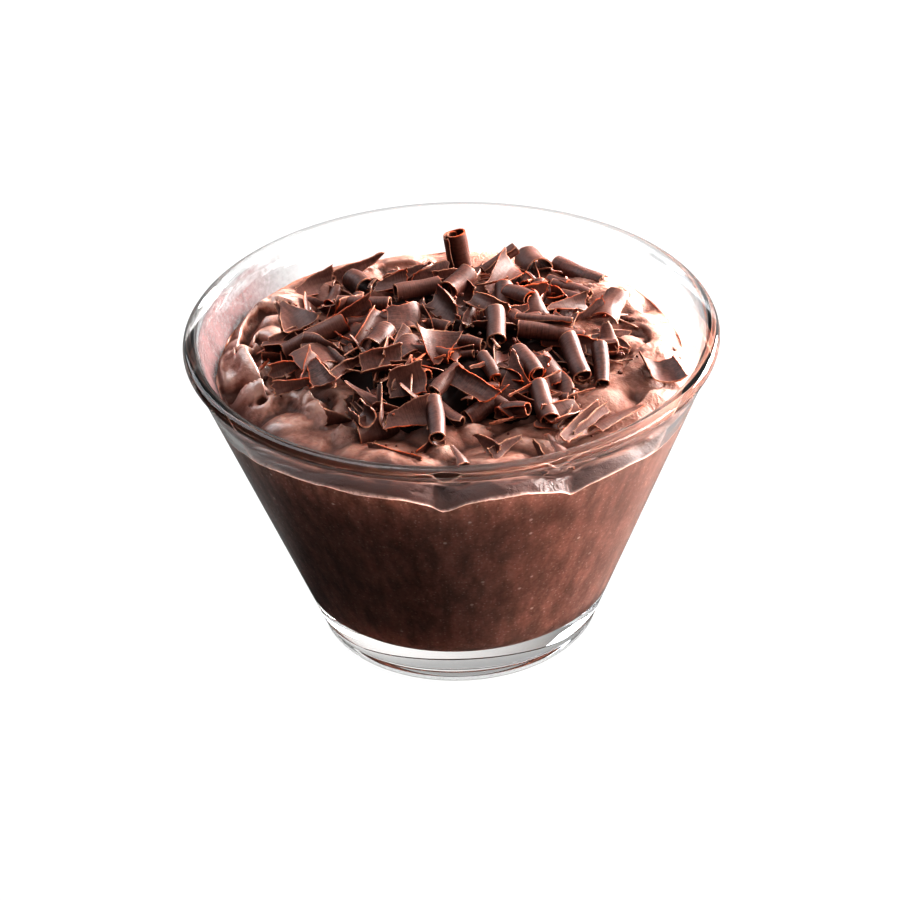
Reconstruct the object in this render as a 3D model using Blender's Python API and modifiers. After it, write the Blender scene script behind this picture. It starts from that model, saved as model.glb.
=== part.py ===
# A glass cup of chocolate mousse with a heap of chocolate curls on top.
# Metres, +Z up. The origin is the centre of the foot, on the table.
from math import atan, ceil, cos, exp, hypot, log, pi, radians, sin, sqrt, tau
import random

import bmesh
import bpy
from mathutils import Euler, Vector
from mathutils.bvhtree import BVHTree

MM = 0.001

# Glass cup: a cone with a rounded lip and a thick bottom that is hollowed underneath
CUP_HEIGHT = 70.5 * MM
RIM_RADIUS = 56.0 * MM
LIP_WIDTH = 3.3 * MM
LIP_HEIGHT = 3.0 * MM
FOOT_RADIUS = 29.9 * MM        # where the outer cone would meet the table
WALL_SLOPE = 0.37              # how far the wall leans out for each unit of height
WALL = 2.85 * MM               # wall thickness, measured level
BASE = 9.4 * MM                # thickness of the bottom
INNER_CORNER = 7.0 * MM
FOOT_ROUNDING = 1.5 * MM
FOOT_RING_INSIDE = 24.5 * MM
PUNT_DEPTH = 1.3 * MM
CUP_STEPS = 60

# Mousse: its top is a low dome with dollops pressed against the wall
GAP = 0.3 * MM                 # between pieces that touch
SEGMENTS = 60
HEAPED_RINGS = 10              # rings of the top under the heap
OPEN_RINGS = 7                 # rings from the heap to the wall
SIDE_RINGS = 5
CORNER_RINGS = 3
DOME_CREST = 62.4 * MM
DOME_REACH = 40.0 * MM
DROP = 3.0 * MM                # a lump is this much lower at its reach
MELT = 0.3 * MM                # how softly neighbouring lumps run together

# Each dollop: bearing in degrees, distance from the axis, crest height,
# reach round the cup, reach outward; all but the first in millimetres
DOLLOPS = (
    (-79, 44, 61.2, 10.5, 12), (-111, 44, 61.6, 13, 12), (-136, 44, 59.8, 12, 11),
    (-50, 44, 58.2, 10.5, 11), (-26, 42, 57.6, 8, 9), (-8, 44, 62.2, 12, 11),
    (16, 44, 60.5, 11, 10), (40, 44, 62.6, 10.5, 10), (61, 44, 60.4, 10, 10),
    (82, 44, 60.8, 12, 11), (104, 44, 61.5, 10.5, 11), (122, 44, 62.8, 10.5, 11),
    (148, 46, 63.2, 10, 7), (163, 41, 63.0, 6, 5), (179, 46, 63.6, 9, 6),
    (-163, 41, 61.6, 9, 6), (-146, 32, 63.0, 8, 7), (-127, 35, 61.8, 5, 7),
    (-96, 29, 63.2, 8, 6), (-63, 33, 63.0, 11, 5), (-21, 35, 62.8, 9, 6),
)

# Heap of curls: one uneven mound over the middle
HEAP_RADIUS = 37.5 * MM
HEAP_CENTRE_RISE = 5.6 * MM    # above the mousse at the middle
HEAP_EDGE_RISE = 2.0 * MM
RIDGES = 140
RIDGE_LENGTH = 5.0 * MM        # half of a curl's length
RIDGE_WIDTH = 2.2 * MM
RIDGE_RISE = 2.6 * MM
# Waves that make the outline uneven: count round the heap, size in mm, turn in degrees
OUTLINE_WAVES = ((1, 1.8, 115), (5, 0.8, 10), (9, 0.9, 140))
# Bays where the mousse shows between the curls: bearing, depth in mm, half width in degrees
OUTLINE_BAYS = ((-150, 11.0, 15), (-80, 8.0, 14), (-27, 8.0, 10))

# Shavings that lie apart from the heap or stand out of it
SHEET = 0.6 * MM
SPIRAL_PITCH = 0.95 * MM
CURL_STEPS = 12
CURL_LENGTHS = 4
SETTLE_GAP = 0.35 * MM

# name: x, y, heading, tilt, spin, length, width, roll radius, near end, far end
# (millimetres and degrees; the last two are the ends' widths as a share of the width)
SHAVINGS = {
    "upright_curl": (4.3, 33.4, 172, 80, 200, 9.0, 14.0, 2.25, 1.0, 1.0),
    "quill_curl": (28.8, 33.5, -45, 0, 180, 13.5, 9.5, 1.9, 1.0, 0.3),
    "broad_curl": (19.6, 38.6, -72, 8, 160, 8.5, 12.5, 2.9, 1.0, 0.75),
    "arched_flake": (34.0, 13.0, 66, 4, 180, 10.0, 9.5, 3.6, 0.9, 0.55),
    "right_flake": (43.6, -8.8, -10, 8, 15, 10.5, 8.4, 7.5, 0.6, 0.95),
    "left_flake": (-34.0, 13.5, -22, 3, 185, 12.5, 8.5, 4.5, 0.35, 0.9),
    "back_left_flake": (-29.5, 31.5, 30, 4, 40, 9.5, 6.5, 6.0, 0.55, 0.95),
    "front_strip": (-12.2, -37.0, -24, 0, 80, 12.0, 3.4, 6.5, 0.9, 0.6),
    "right_dark_flake": (33.0, -25.5, 34, 2, 165, 12.5, 7.5, 5.0, 0.9, 0.5),
}


def material(name, color, roughness, transmission=0.0):
    """A plain Principled material."""
    made = bpy.data.materials.new(name)
    made.use_nodes = True
    shader = made.node_tree.nodes["Principled BSDF"]
    shader.inputs["Base Color"].default_value = (*color, 1.0)
    shader.inputs["Roughness"].default_value = roughness
    shader.inputs["Metallic"].default_value = 0.0
    shader.inputs["Transmission Weight"].default_value = transmission
    return made


def add_object(name, mesh, finish, collection):
    """Names the mesh, gives it its finish and puts it in the collection."""
    obj = bpy.data.objects.new(name, mesh)
    mesh.materials.append(finish)
    mesh.shade_smooth()
    mesh.set_sharp_from_angle(angle=radians(50))
    collection.objects.link(obj)
    return obj


def arc(centre, radii, start, end, steps):
    """Points of an elliptical arc in the profile plane, both ends included."""
    angles = (radians(start + (end - start) * step / steps) for step in range(steps + 1))
    return [(centre[0] + radii[0] * cos(a), centre[1] + radii[1] * sin(a)) for a in angles]


def outer_radius(z):
    return FOOT_RADIUS + WALL_SLOPE * z


def inner_radius(z, gap=0.0):
    """The inside of the wall at a height, drawn in by a gap square to the wall."""
    return outer_radius(z) - WALL - gap * hypot(1.0, WALL_SLOPE)


def corner_arc(gap, steps):
    """The round between the cup's inner floor and its wall, floor first."""
    centre_z = BASE + INNER_CORNER
    centre_r = inner_radius(centre_z) - INNER_CORNER * hypot(1.0, WALL_SLOPE)
    lean = -atan(WALL_SLOPE) * 180.0 / pi
    radius = INNER_CORNER - gap
    return arc((centre_r, centre_z), (radius, radius), -90.0, lean, steps)


def cup_profile():
    """From the middle of the inner floor up the inside, over the lip, down to the foot."""
    lip = (RIM_RADIUS - LIP_WIDTH / 2, CUP_HEIGHT - LIP_HEIGHT / 2)
    neck = CUP_HEIGHT - 1.1 * LIP_HEIGHT
    points = [(0.0, BASE)]
    points += corner_arc(0.0, 4)
    points.append((inner_radius(neck), neck))
    points += arc(lip, (LIP_WIDTH / 2, LIP_HEIGHT / 2), 180.0, -30.0, 7)
    points.append((outer_radius(neck), neck))
    foot_centre = (outer_radius(FOOT_ROUNDING) - FOOT_ROUNDING, FOOT_ROUNDING)
    points += arc(foot_centre, (FOOT_ROUNDING, FOOT_ROUNDING), 0.0, -90.0, 3)
    points.append((FOOT_RING_INSIDE, 0.0))
    points += arc((0.0, 0.0), (FOOT_RING_INSIDE - 1.0 * MM, PUNT_DEPTH), 20.0, 90.0, 3)
    return points


def build_cup(finish, collection):
    profile = bpy.data.meshes.new("glass_cup")
    points = cup_profile()
    edges = [(i, i + 1) for i in range(len(points) - 1)]
    profile.from_pydata([(r, 0.0, z) for r, z in points], edges, [])
    cup = add_object("glass_cup", profile, finish, collection)
    turn = cup.modifiers.new("turn", "SCREW")
    turn.steps = CUP_STEPS
    turn.render_steps = CUP_STEPS
    turn.use_merge_vertices = True
    turn.merge_threshold = 0.00001
    turn.use_smooth_shade = True
    return cup


def mousse_top(x, y):
    """Height of the mousse's surface: the dome and the dollops, softly joined."""
    heights = [DOME_CREST - DROP * (x * x + y * y) / DOME_REACH**2]
    for bearing, distance, crest, around, outward in DOLLOPS:
        a = radians(bearing)
        dx = x - distance * MM * cos(a)
        dy = y - distance * MM * sin(a)
        u = (dy * cos(a) - dx * sin(a)) / (around * MM)
        v = (dx * cos(a) + dy * sin(a)) / (outward * MM)
        heights.append(crest * MM - DROP * (u * u + v * v))
    highest = max(heights)
    return highest + MELT * log(sum(exp((height - highest) / MELT) for height in heights))


def heap_outline(angle):
    """How far the heap reaches from the axis at a bearing."""
    waves = sum(size * MM * cos(count * angle - radians(turn)) for count, size, turn in OUTLINE_WAVES)
    bays = 0.0
    for bearing, depth, half_width in OUTLINE_BAYS:
        away = (angle - radians(bearing) + pi) % tau - pi
        bays += depth * MM * exp(-((away / radians(half_width)) ** 2))
    return HEAP_RADIUS + waves - bays


def make_ridges():
    """Seeded places of the curls that make the heap's surface uneven: x, y, heading, rise."""
    rng = random.Random(11)
    ridges = []
    for _ in range(RIDGES):
        angle = rng.uniform(0.0, tau)
        distance = HEAP_RADIUS * sqrt(rng.uniform(0.0, 1.0))
        heading = rng.uniform(0.0, pi)
        rise = RIDGE_RISE * rng.uniform(0.3, 1.0)
        ridges.append((distance * cos(angle), distance * sin(angle), heading, rise))
    return ridges


def heap_rise(x, y, ridges):
    """Height of the heap above the mousse."""
    share = min(1.0, hypot(x, y) / HEAP_RADIUS)
    rise = HEAP_EDGE_RISE + (HEAP_CENTRE_RISE - HEAP_EDGE_RISE) * (1.0 - share**2)
    bump = 0.0
    for ridge_x, ridge_y, heading, height in ridges:
        dx, dy = x - ridge_x, y - ridge_y
        u = (dx * cos(heading) + dy * sin(heading)) / RIDGE_LENGTH
        v = (dy * cos(heading) - dx * sin(heading)) / RIDGE_WIDTH
        bump = max(bump, height * (1.0 - u * u - v * v))
    return rise + bump


def heaped_ring(ring, height):
    """One ring of points under or on the heap: ring 0 is the middle, the last its outline."""
    points = []
    for segment in range(SEGMENTS):
        angle = tau * segment / SEGMENTS
        radius = heap_outline(angle) * ring / HEAPED_RINGS
        x, y = radius * cos(angle), radius * sin(angle)
        points.append((x, y, height(x, y)))
    return points


def wall_contact(angle):
    """Where the mousse's surface meets the wall at a bearing: radius and height."""
    radius = inner_radius(DOME_CREST, GAP)
    for _ in range(8):
        height = mousse_top(radius * cos(angle), radius * sin(angle))
        radius = inner_radius(height, GAP)
    return radius, height


def closed_mesh(name, top, rings, bottom):
    """A closed body from a point at the top, rings of points, and a point at the bottom.

    Each cell is cut from its inner corner to the next outer one, on an upper side and an
    underside alike, so the heap's underside keeps its gap to the mousse everywhere.
    """
    shape = bmesh.new()
    first = shape.verts.new(top)
    last = shape.verts.new(bottom)
    loops = [[shape.verts.new(point) for point in ring] for ring in rings]
    for k in range(SEGMENTS):
        n = (k + 1) % SEGMENTS
        shape.faces.new((first, loops[0][k], loops[0][n]))
        for upper, lower in zip(loops, loops[1:]):
            if upper[k].co.xy.length < lower[k].co.xy.length:
                shape.faces.new((upper[k], lower[k], lower[n]))
                shape.faces.new((upper[k], lower[n], upper[n]))
            else:
                shape.faces.new((upper[k], lower[k], upper[n]))
                shape.faces.new((lower[k], lower[n], upper[n]))
        shape.faces.new((last, loops[-1][n], loops[-1][k]))
    mesh = bpy.data.meshes.new(name)
    shape.to_mesh(mesh)
    shape.free()
    return mesh


def build_mousse(finish, collection):
    """Fills the cup: its top, its side against the wall, and its round lower corner."""
    rings = [heaped_ring(ring, mousse_top) for ring in range(1, HEAPED_RINGS + 1)]
    angles = [tau * segment / SEGMENTS for segment in range(SEGMENTS)]
    contacts = [wall_contact(angle) for angle in angles]
    for ring in range(1, OPEN_RINGS):
        share = ring / OPEN_RINGS
        points = []
        for angle, (contact_radius, _) in zip(angles, contacts):
            start = heap_outline(angle)
            radius = start + (contact_radius - start) * share
            x, y = radius * cos(angle), radius * sin(angle)
            points.append((x, y, mousse_top(x, y)))
        rings.append(points)
    corner = corner_arc(GAP, CORNER_RINGS)[::-1]
    foot_height = corner[0][1]
    for ring in range(SIDE_RINGS):
        points = []
        for angle, (_, contact_height) in zip(angles, contacts):
            height = contact_height + (foot_height - contact_height) * ring / SIDE_RINGS
            radius = inner_radius(height, GAP)
            points.append((radius * cos(angle), radius * sin(angle), height))
        rings.append(points)
    for radius, height in corner:
        rings.append([(radius * cos(angle), radius * sin(angle), height) for angle in angles])
    mesh = closed_mesh("mousse", (0.0, 0.0, mousse_top(0.0, 0.0)), rings, (0.0, 0.0, BASE + GAP))
    return add_object("mousse", mesh, finish, collection)


def build_heap(finish, collection):
    """The mound of curls; its underside keeps the gap to the mousse's facets."""
    ridges = make_ridges()

    def under(x, y):
        return mousse_top(x, y) + GAP

    def over(x, y):
        return under(x, y) + heap_rise(x, y, ridges)

    rings = [heaped_ring(ring, over) for ring in range(1, HEAPED_RINGS + 1)]
    rings += [heaped_ring(ring, under) for ring in range(HEAPED_RINGS, 0, -1)]
    mesh = closed_mesh("curl_heap", (0.0, 0.0, over(0.0, 0.0)), rings, (0.0, 0.0, under(0.0, 0.0)))
    return add_object("curl_heap", mesh, finish, collection)


def rolled_sheet(name, length, width, roll_radius, near_end, far_end):
    """A thin shaving rolled about its length, open where it is less than a full turn."""
    steps = max(4, ceil(CURL_STEPS * min(1.0, width * MM / (4.0 * roll_radius * MM))))
    sheet = bmesh.new()
    bmesh.ops.create_grid(sheet, x_segments=CURL_LENGTHS, y_segments=steps, size=0.5)
    for vert in sheet.verts:
        along, across = vert.co.x, vert.co.y
        share = near_end + (far_end - near_end) * (along + 0.5)
        turn = across * width * share / roll_radius
        radius = roll_radius * MM + SPIRAL_PITCH * turn / tau
        vert.co = Vector((along * length * MM, radius * sin(turn), roll_radius * MM - radius * cos(turn)))
    mesh = bpy.data.meshes.new(name)
    sheet.to_mesh(mesh)
    sheet.free()
    return mesh


def settle(shaving, supports):
    """The height at which a shaving rests on the surfaces below it."""
    depsgraph = bpy.context.evaluated_depsgraph_get()
    trees = [BVHTree.FromObject(support, depsgraph) for support in supports]
    turned = shaving.rotation_euler.to_matrix()
    lift = -1.0
    for vert in shaving.evaluated_get(depsgraph).data.vertices:
        corner = turned @ vert.co
        above = Vector((shaving.location.x + corner.x, shaving.location.y + corner.y, CUP_HEIGHT * 2))
        for tree in trees:
            hit = tree.ray_cast(above, Vector((0.0, 0.0, -1.0)))[0]
            if hit is not None:
                lift = max(lift, hit.z - corner.z)
    return lift + SETTLE_GAP


def build_shaving(name, place, finish, collection, supports):
    x, y, heading, tilt, spin, *form = place
    shaving = add_object(name, rolled_sheet(name, *form), finish, collection)
    thicken = shaving.modifiers.new("thickness", "SOLIDIFY")
    thicken.thickness = SHEET
    thicken.offset = 0.0
    shaving.rotation_euler = Euler((radians(spin), radians(-tilt), radians(heading)))
    shaving.location = (x * MM, y * MM, 0.0)
    bpy.context.view_layer.update()
    shaving.location.z = settle(shaving, supports)
    return shaving


def main():
    for obj in list(bpy.data.objects):
        bpy.data.objects.remove(obj, do_unlink=True)
    collection = bpy.data.collections.new("chocolate_mousse")
    bpy.context.scene.collection.children.link(collection)
    glass = material("clear_glass", (0.95, 0.96, 0.96), 0.03, transmission=1.0)
    mousse_brown = material("chocolate_mousse", (0.27, 0.115, 0.08), 0.55)
    dark_chocolate = material("dark_chocolate", (0.052, 0.020, 0.015), 0.35)
    build_cup(glass, collection)
    mousse = build_mousse(mousse_brown, collection)
    heap = build_heap(dark_chocolate, collection)
    for name, place in SHAVINGS.items():
        build_shaving(name, place, dark_chocolate, collection, (mousse, heap))


main()
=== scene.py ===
from math import atan, cos, degrees, hypot, pi, radians, sin, tau

import bpy
import numpy as np
from mathutils import Euler, Matrix, Quaternion, Vector, noise


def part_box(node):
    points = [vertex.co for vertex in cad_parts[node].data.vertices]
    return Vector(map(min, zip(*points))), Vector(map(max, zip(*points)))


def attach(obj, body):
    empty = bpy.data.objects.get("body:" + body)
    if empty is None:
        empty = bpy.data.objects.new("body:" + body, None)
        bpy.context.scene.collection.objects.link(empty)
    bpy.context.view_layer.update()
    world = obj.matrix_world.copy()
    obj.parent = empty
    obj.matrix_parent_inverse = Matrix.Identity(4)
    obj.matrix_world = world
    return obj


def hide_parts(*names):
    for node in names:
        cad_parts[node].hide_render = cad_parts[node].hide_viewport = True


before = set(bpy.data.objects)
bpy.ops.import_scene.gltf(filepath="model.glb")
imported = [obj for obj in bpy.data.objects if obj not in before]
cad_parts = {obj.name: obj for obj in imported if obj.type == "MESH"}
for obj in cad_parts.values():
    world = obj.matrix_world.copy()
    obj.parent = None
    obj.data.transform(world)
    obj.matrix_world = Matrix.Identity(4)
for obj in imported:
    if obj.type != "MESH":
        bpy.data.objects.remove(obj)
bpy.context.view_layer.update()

# Chocolate mousse in a glass cup, under a heap of chocolate curls.
# Sizes below are in millimetres and degrees unless a note says otherwise.

mm = 0.001
up = Vector((0.0, 0.0, 1.0))


# small helpers

def isLink(value):
    return isinstance(value, bpy.types.NodeSocket)


def addObject(name, mesh, material, replaces=()):
    # names the piece, gives it its finish and lets it ride on the cup
    piece = bpy.data.objects.new(name, mesh)
    mesh.materials.append(material)
    bpy.context.scene.collection.objects.link(piece)
    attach(piece, "root")
    if replaces:
        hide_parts(*replaces)


def makeMesh(name, points, faces, attributes=None, sharpAngle=45.0):
    # points in millimetres; attributes are one number or one triple for each point
    mesh = bpy.data.meshes.new(name)
    mesh.from_pydata((np.asarray(points) * mm).tolist(), [], faces)
    for key, values in (attributes or {}).items():
        values = np.asarray(values, dtype=np.float32)
        kind, field = ("FLOAT", "value") if values.ndim == 1 else ("FLOAT_VECTOR", "vector")
        layer = mesh.attributes.new(key, kind, "POINT")
        layer.data.foreach_set(field, values.ravel())
    mesh.shade_smooth()
    if sharpAngle:
        mesh.set_sharp_from_angle(angle=radians(sharpAngle))
    mesh.validate()
    return mesh


def ringFaces(rings, segments, first=0):
    # quads between rings of points that lie one after another
    faces = []
    for ring in range(rings - 1):
        a = first + ring * segments
        b = a + segments
        faces += [(a + k, b + k, b + (k + 1) % segments, a + (k + 1) % segments)
                  for k in range(segments)]
    return faces


def capFaces(top, bottom, topRing, bottomRing, segments):
    # fans that close a body: from a point over its first ring and a point under its last
    faces = []
    for k in range(segments):
        n = (k + 1) % segments
        faces.append((top, topRing + k, topRing + n))
        faces.append((bottom, bottomRing + n, bottomRing + k))
    return faces


def ringPoints(x, y, z):
    # one row of points; z is one height for all of them or a height for each
    return np.column_stack([x, y, np.full(len(x), z)])


def noiseAt(points, size, shift=0.0):
    # smooth noise from -1 to 1, with lumps of about that size
    return np.array([noise.noise(Vector((x / size + shift, y / size - shift, z / size)))
                     for x, y, z in points])


def arc(centre, radii, start, end, steps):
    angles = np.radians(np.linspace(start, end, steps + 1))
    return [(centre[0] + radii[0] * cos(a), centre[1] + radii[1] * sin(a)) for a in angles]


# node helpers

def newMaterial(name):
    made = bpy.data.materials.new(name)
    made.use_nodes = True
    made.node_tree.nodes.clear()
    return made, made.node_tree


def feed(tree, socket, value):
    # links the value into the socket, or sets it there
    if isLink(value):
        tree.links.new(value, socket)
    else:
        socket.default_value = value


def addNode(tree, kind, settings=None, **values):
    # settings are the node's own properties, values go into its inputs by name, or by number as i0, i1
    node = tree.nodes.new(kind)
    for key, value in (settings or {}).items():
        setattr(node, key, value)
    for key, value in values.items():
        numbered = key[0] == "i" and key[1:].isdigit()
        feed(tree, node.inputs[int(key[1:]) if numbered else key.replace("_", " ")], value)
    return node


def mathNode(tree, operation, a, b):
    return addNode(tree, "ShaderNodeMath", {"operation": operation}, i0=a, i1=b).outputs[0]


def product(tree, a, b):
    return mathNode(tree, "MULTIPLY", a, b)


def mixColor(tree, factor, a, b, blend="MIX"):
    node = addNode(tree, "ShaderNodeMix", {"data_type": "RGBA", "blend_type": blend}, i0=factor)
    for socket, value in ((node.inputs[6], a), (node.inputs[7], b)):
        feed(tree, socket, value if isLink(value) else (*value, 1.0))
    return node.outputs[2]


def rangeOf(tree, value, low, high, toLow=0.0, toHigh=1.0):
    node = addNode(tree, "ShaderNodeMapRange", {"clamp": True}, Value=value)
    for key, number in (("From Min", low), ("From Max", high), ("To Min", toLow), ("To Max", toHigh)):
        node.inputs[key].default_value = number
    return node.outputs[0]


def noiseNode(tree, vector, scale, detail=2.0, roughness=0.5, distortion=0.0):
    return addNode(tree, "ShaderNodeTexNoise", None, Vector=vector, Scale=scale, Detail=detail,
                   Roughness=roughness, Distortion=distortion).outputs[0]


def cellNode(tree, vector, scale):
    return addNode(tree, "ShaderNodeTexVoronoi", None, Vector=vector, Scale=scale, Randomness=1.0).outputs


def firstChannel(tree, color):
    return addNode(tree, "ShaderNodeSeparateColor", None, i0=color).outputs[0]


def stretchedBy(tree, vector, factors):
    return addNode(tree, "ShaderNodeVectorMath", {"operation": "MULTIPLY"}, i0=vector, i1=factors).outputs[0]


def objectPlace(tree):
    return addNode(tree, "ShaderNodeTexCoord").outputs["Object"]


def meshValue(tree, name, kind="Fac"):
    # one of the attributes that the mesh carries
    return addNode(tree, "ShaderNodeAttribute", {"attribute_name": name}).outputs[kind]


def closeMaterial(tree, shader):
    addNode(tree, "ShaderNodeOutputMaterial", None, Surface=shader.outputs[0])


def newGroup(name, inputs, outputs):
    # a node group with named sockets: {name: (kind, default)} in, {name: kind} out
    tree = bpy.data.node_groups.new(name, "ShaderNodeTree")
    for key, (kind, default) in inputs.items():
        socket = tree.interface.new_socket(name=key, in_out="INPUT", socket_type="NodeSocket" + kind)
        if default is not None:
            socket.default_value = default
    for key, kind in outputs.items():
        tree.interface.new_socket(name=key, in_out="OUTPUT", socket_type="NodeSocket" + kind)
    entry = tree.nodes.new("NodeGroupInput")
    leave = tree.nodes.new("NodeGroupOutput")
    return tree, entry.outputs, leave.inputs


def useGroup(tree, group, **values):
    node = tree.nodes.new("ShaderNodeGroup")
    node.node_tree = group
    for key, value in values.items():
        feed(tree, node.inputs[key], value)
    return node.outputs


# shared effects

def makeMottle():
    # soft two-colour mottling with a second, finer layer over it
    tree, given, result = newGroup(
        "soft mottle",
        {"Vector": ("Vector", None), "Scale": ("Float", 60.0), "Light": ("Color", (1, 1, 1, 1)),
         "Dark": ("Color", (0.9, 0.9, 0.9, 1)), "Fine": ("Float", 0.3)},
        {"Color": "Color", "Mask": "Float"})
    broad = noiseNode(tree, given["Vector"], given["Scale"], 3.0)
    fineScale = product(tree, given["Scale"], 6.5)
    fine = noiseNode(tree, given["Vector"], fineScale, 2.0)
    blend = addNode(tree, "ShaderNodeMix", {"data_type": "FLOAT"}, i0=given["Fine"], i2=broad,
                    i3=fine).outputs[0]
    mask = rangeOf(tree, blend, 0.34, 0.66)
    tree.links.new(mixColor(tree, mask, given["Dark"], given["Light"]), result["Color"])
    tree.links.new(mask, result["Mask"])
    return tree


mottle = makeMottle()


# glass cup

cup = {
    "height": 70.5, "rimRadius": 56.0, "lipWidth": 3.3, "lipHeight": 3.0,
    "footRadius": 29.9,      # where the outer cone would meet the table
    "slope": 0.37,           # how far the wall leans out for each unit of height
    "wall": 2.85, "base": 9.4, "innerCorner": 7.0, "footRounding": 1.5,
    "footRing": 24.5, "punt": 1.3,
    "steps": 192,
    "waviness": 0.05,        # pressed glass is never quite round
    "outline": (0.35, 0.9, 0.06, 0.75),   # the lip's painted grey line, a painted dark reflection: facing from and to, weakest, strongest
    "lipClear": 0.4,         # how much of the lip is seen straight through
}


def outerRadius(z):
    return cup["footRadius"] + cup["slope"] * z


def innerRadius(z, inward=0.0):
    # the inside of the wall at a height, drawn in square to the wall
    return outerRadius(z) - cup["wall"] - inward * hypot(1.0, cup["slope"])


def cornerArc(inward, steps):
    # the round between the inner floor and the wall, floor first
    centreZ = cup["base"] + cup["innerCorner"]
    centreR = innerRadius(centreZ) - cup["innerCorner"] * hypot(1.0, cup["slope"])
    radius = cup["innerCorner"] - inward
    return arc((centreR, centreZ), (radius, radius), -90.0, -degrees(atan(cup["slope"])), steps)


def cupProfile():
    # from the inner floor up the inside, over the lip and down to the hollowed foot
    lip = (cup["rimRadius"] - cup["lipWidth"] / 2, cup["height"] - cup["lipHeight"] / 2)
    neck = cup["height"] - 1.1 * cup["lipHeight"]
    points = [(r, cup["base"]) for r in (8.0, 14.0, 20.0)]
    corner = cornerArc(0.0, 10)
    points += corner
    points += [(innerRadius(z), z) for z in np.linspace(corner[-1][1], neck, 16)[1:]]
    points += arc(lip, (cup["lipWidth"] / 2, cup["lipHeight"] / 2), 180.0, -30.0, 22)
    points += [(outerRadius(z), z) for z in np.linspace(neck, cup["footRounding"], 18)]
    centre = (outerRadius(cup["footRounding"]) - cup["footRounding"], cup["footRounding"])
    points += arc(centre, (cup["footRounding"],) * 2, 0.0, -90.0, 7)[1:]
    points += [(cup["footRing"], 0.0)]
    points += arc((0.0, 0.0), (cup["footRing"] - 1.0, cup["punt"]), 20.0, 75.0, 7)
    return points


def buildCup(material):
    profile = cupProfile()
    steps = cup["steps"]
    angles = tau * np.arange(steps) / steps
    wave = cup["waviness"] * (np.cos(3 * angles + 0.6) + 0.6 * np.cos(7 * angles + 2.0)) / 2
    points = []
    for r, z in profile:
        radius = r + wave * z / cup["height"]
        points += ringPoints(radius * np.cos(angles), radius * np.sin(angles), z).tolist()
    faces = ringFaces(len(profile), steps)
    count = len(points)
    points += [[0.0, 0.0, cup["base"]], [0.0, 0.0, cup["punt"]]]
    faces += capFaces(count, count + 1, 0, count - steps, steps)
    lip = np.clip((np.array(points)[:, 2] - cup["height"] + cup["lipHeight"]) / 0.6, 0.0, 1.0)
    mesh = makeMesh("glassCup", points, faces, {"lip": lip}, sharpAngle=60.0)
    addObject("glassCup", mesh, material, ("glass_cup",))


def makeGlass():
    made, tree = newMaterial("clear glass")
    place = objectPlace(tree)
    tint = useGroup(tree, mottle, Vector=place, Scale=18.0, Light=(1.0, 1.0, 1.0, 1),
                    Dark=(0.975, 0.985, 0.985, 1), Fine=0.2)
    haze = noiseNode(tree, place, 90.0, 3.0)
    # the thick lip is painted grey where it slants away, a painted dark reflection which draws its two thin
    # lines
    lip = meshValue(tree, "lip")
    slanting = addNode(tree, "ShaderNodeLayerWeight", None, Blend=0.5).outputs["Facing"]
    outline = product(tree, lip, rangeOf(tree, slanting, *cup["outline"]))
    color = mixColor(tree, outline, tint["Color"], (0.36, 0.38, 0.42))
    shader = addNode(tree, "ShaderNodeBsdfPrincipled", None, Base_Color=color,
                     Roughness=rangeOf(tree, haze, 0.45, 0.75, 0.0, 0.02), IOR=1.5)
    shader.inputs["Metallic"].default_value = 0.0
    shader.inputs["Transmission Weight"].default_value = 1.0
    # light on its way to the mousse goes straight through, and the lip is partly clear to the eye too
    clear = addNode(tree, "ShaderNodeBsdfTransparent", None, Color=(0.90, 0.90, 0.90, 1))
    path = addNode(tree, "ShaderNodeLightPath")
    through = mathNode(tree, "MAXIMUM", path.outputs["Is Shadow Ray"], product(tree, lip, cup["lipClear"]))
    blend = addNode(tree, "ShaderNodeMixShader", None, i0=through, i1=shader.outputs[0],
                    i2=clear.outputs[0])
    closeMaterial(tree, blend)
    return made


print("glass cup")
buildCup(makeGlass())


# mousse

mousse = {
    "segments": 560, "heapRows": 10, "openRows": 122, "sideRows": 12, "cornerRows": 6,
    "openFrom": 17.0,        # the finer rows start at this radius
    "crowding": 0.6,         # how much the rows draw together towards the glass
    "bite": 0.15,            # how far the side reaches into the glass
    "sideDrop": 0.10,        # the side begins this far below the top's edge
    "domeCrest": 62.4, "domeReach": 40.0, "drop": 3.0,
    "melt": 0.22,            # how softly neighbouring lumps run together
    "foldHeight": 0.36, "rippleHeight": 0.14, "wrinkleHeight": 0.12, "grainHeight": 0.05,
    "shoulderReach": 6.5,    # the top rounds off towards the line where it meets the glass
    "lineWobble": 0.12,      # how unsteady that line is
    "pushFade": 2.5,         # folds lean less and less within this distance of the glass
    "lipRise": 0.45, "lipReach": 0.28,    # the mousse climbs the glass where it meets it
    "filmReach": 0.22,       # how far from the glass the painted highlight along that thin edge reaches
    "fineCrests": 2.1, "broadCrests": 0.7,    # how much small and large crests and pits set the painted highlight and painted shade
    # painted shade on the mousse by the glass, on this side
    "shadeBearing": -100.0, "shadeReach": 9.0, "shadeFade": 3.0,
    "airUnder": 0.25,        # a film of air between the mousse and the cup's floor
    "seed": 3.7,
}

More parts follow.
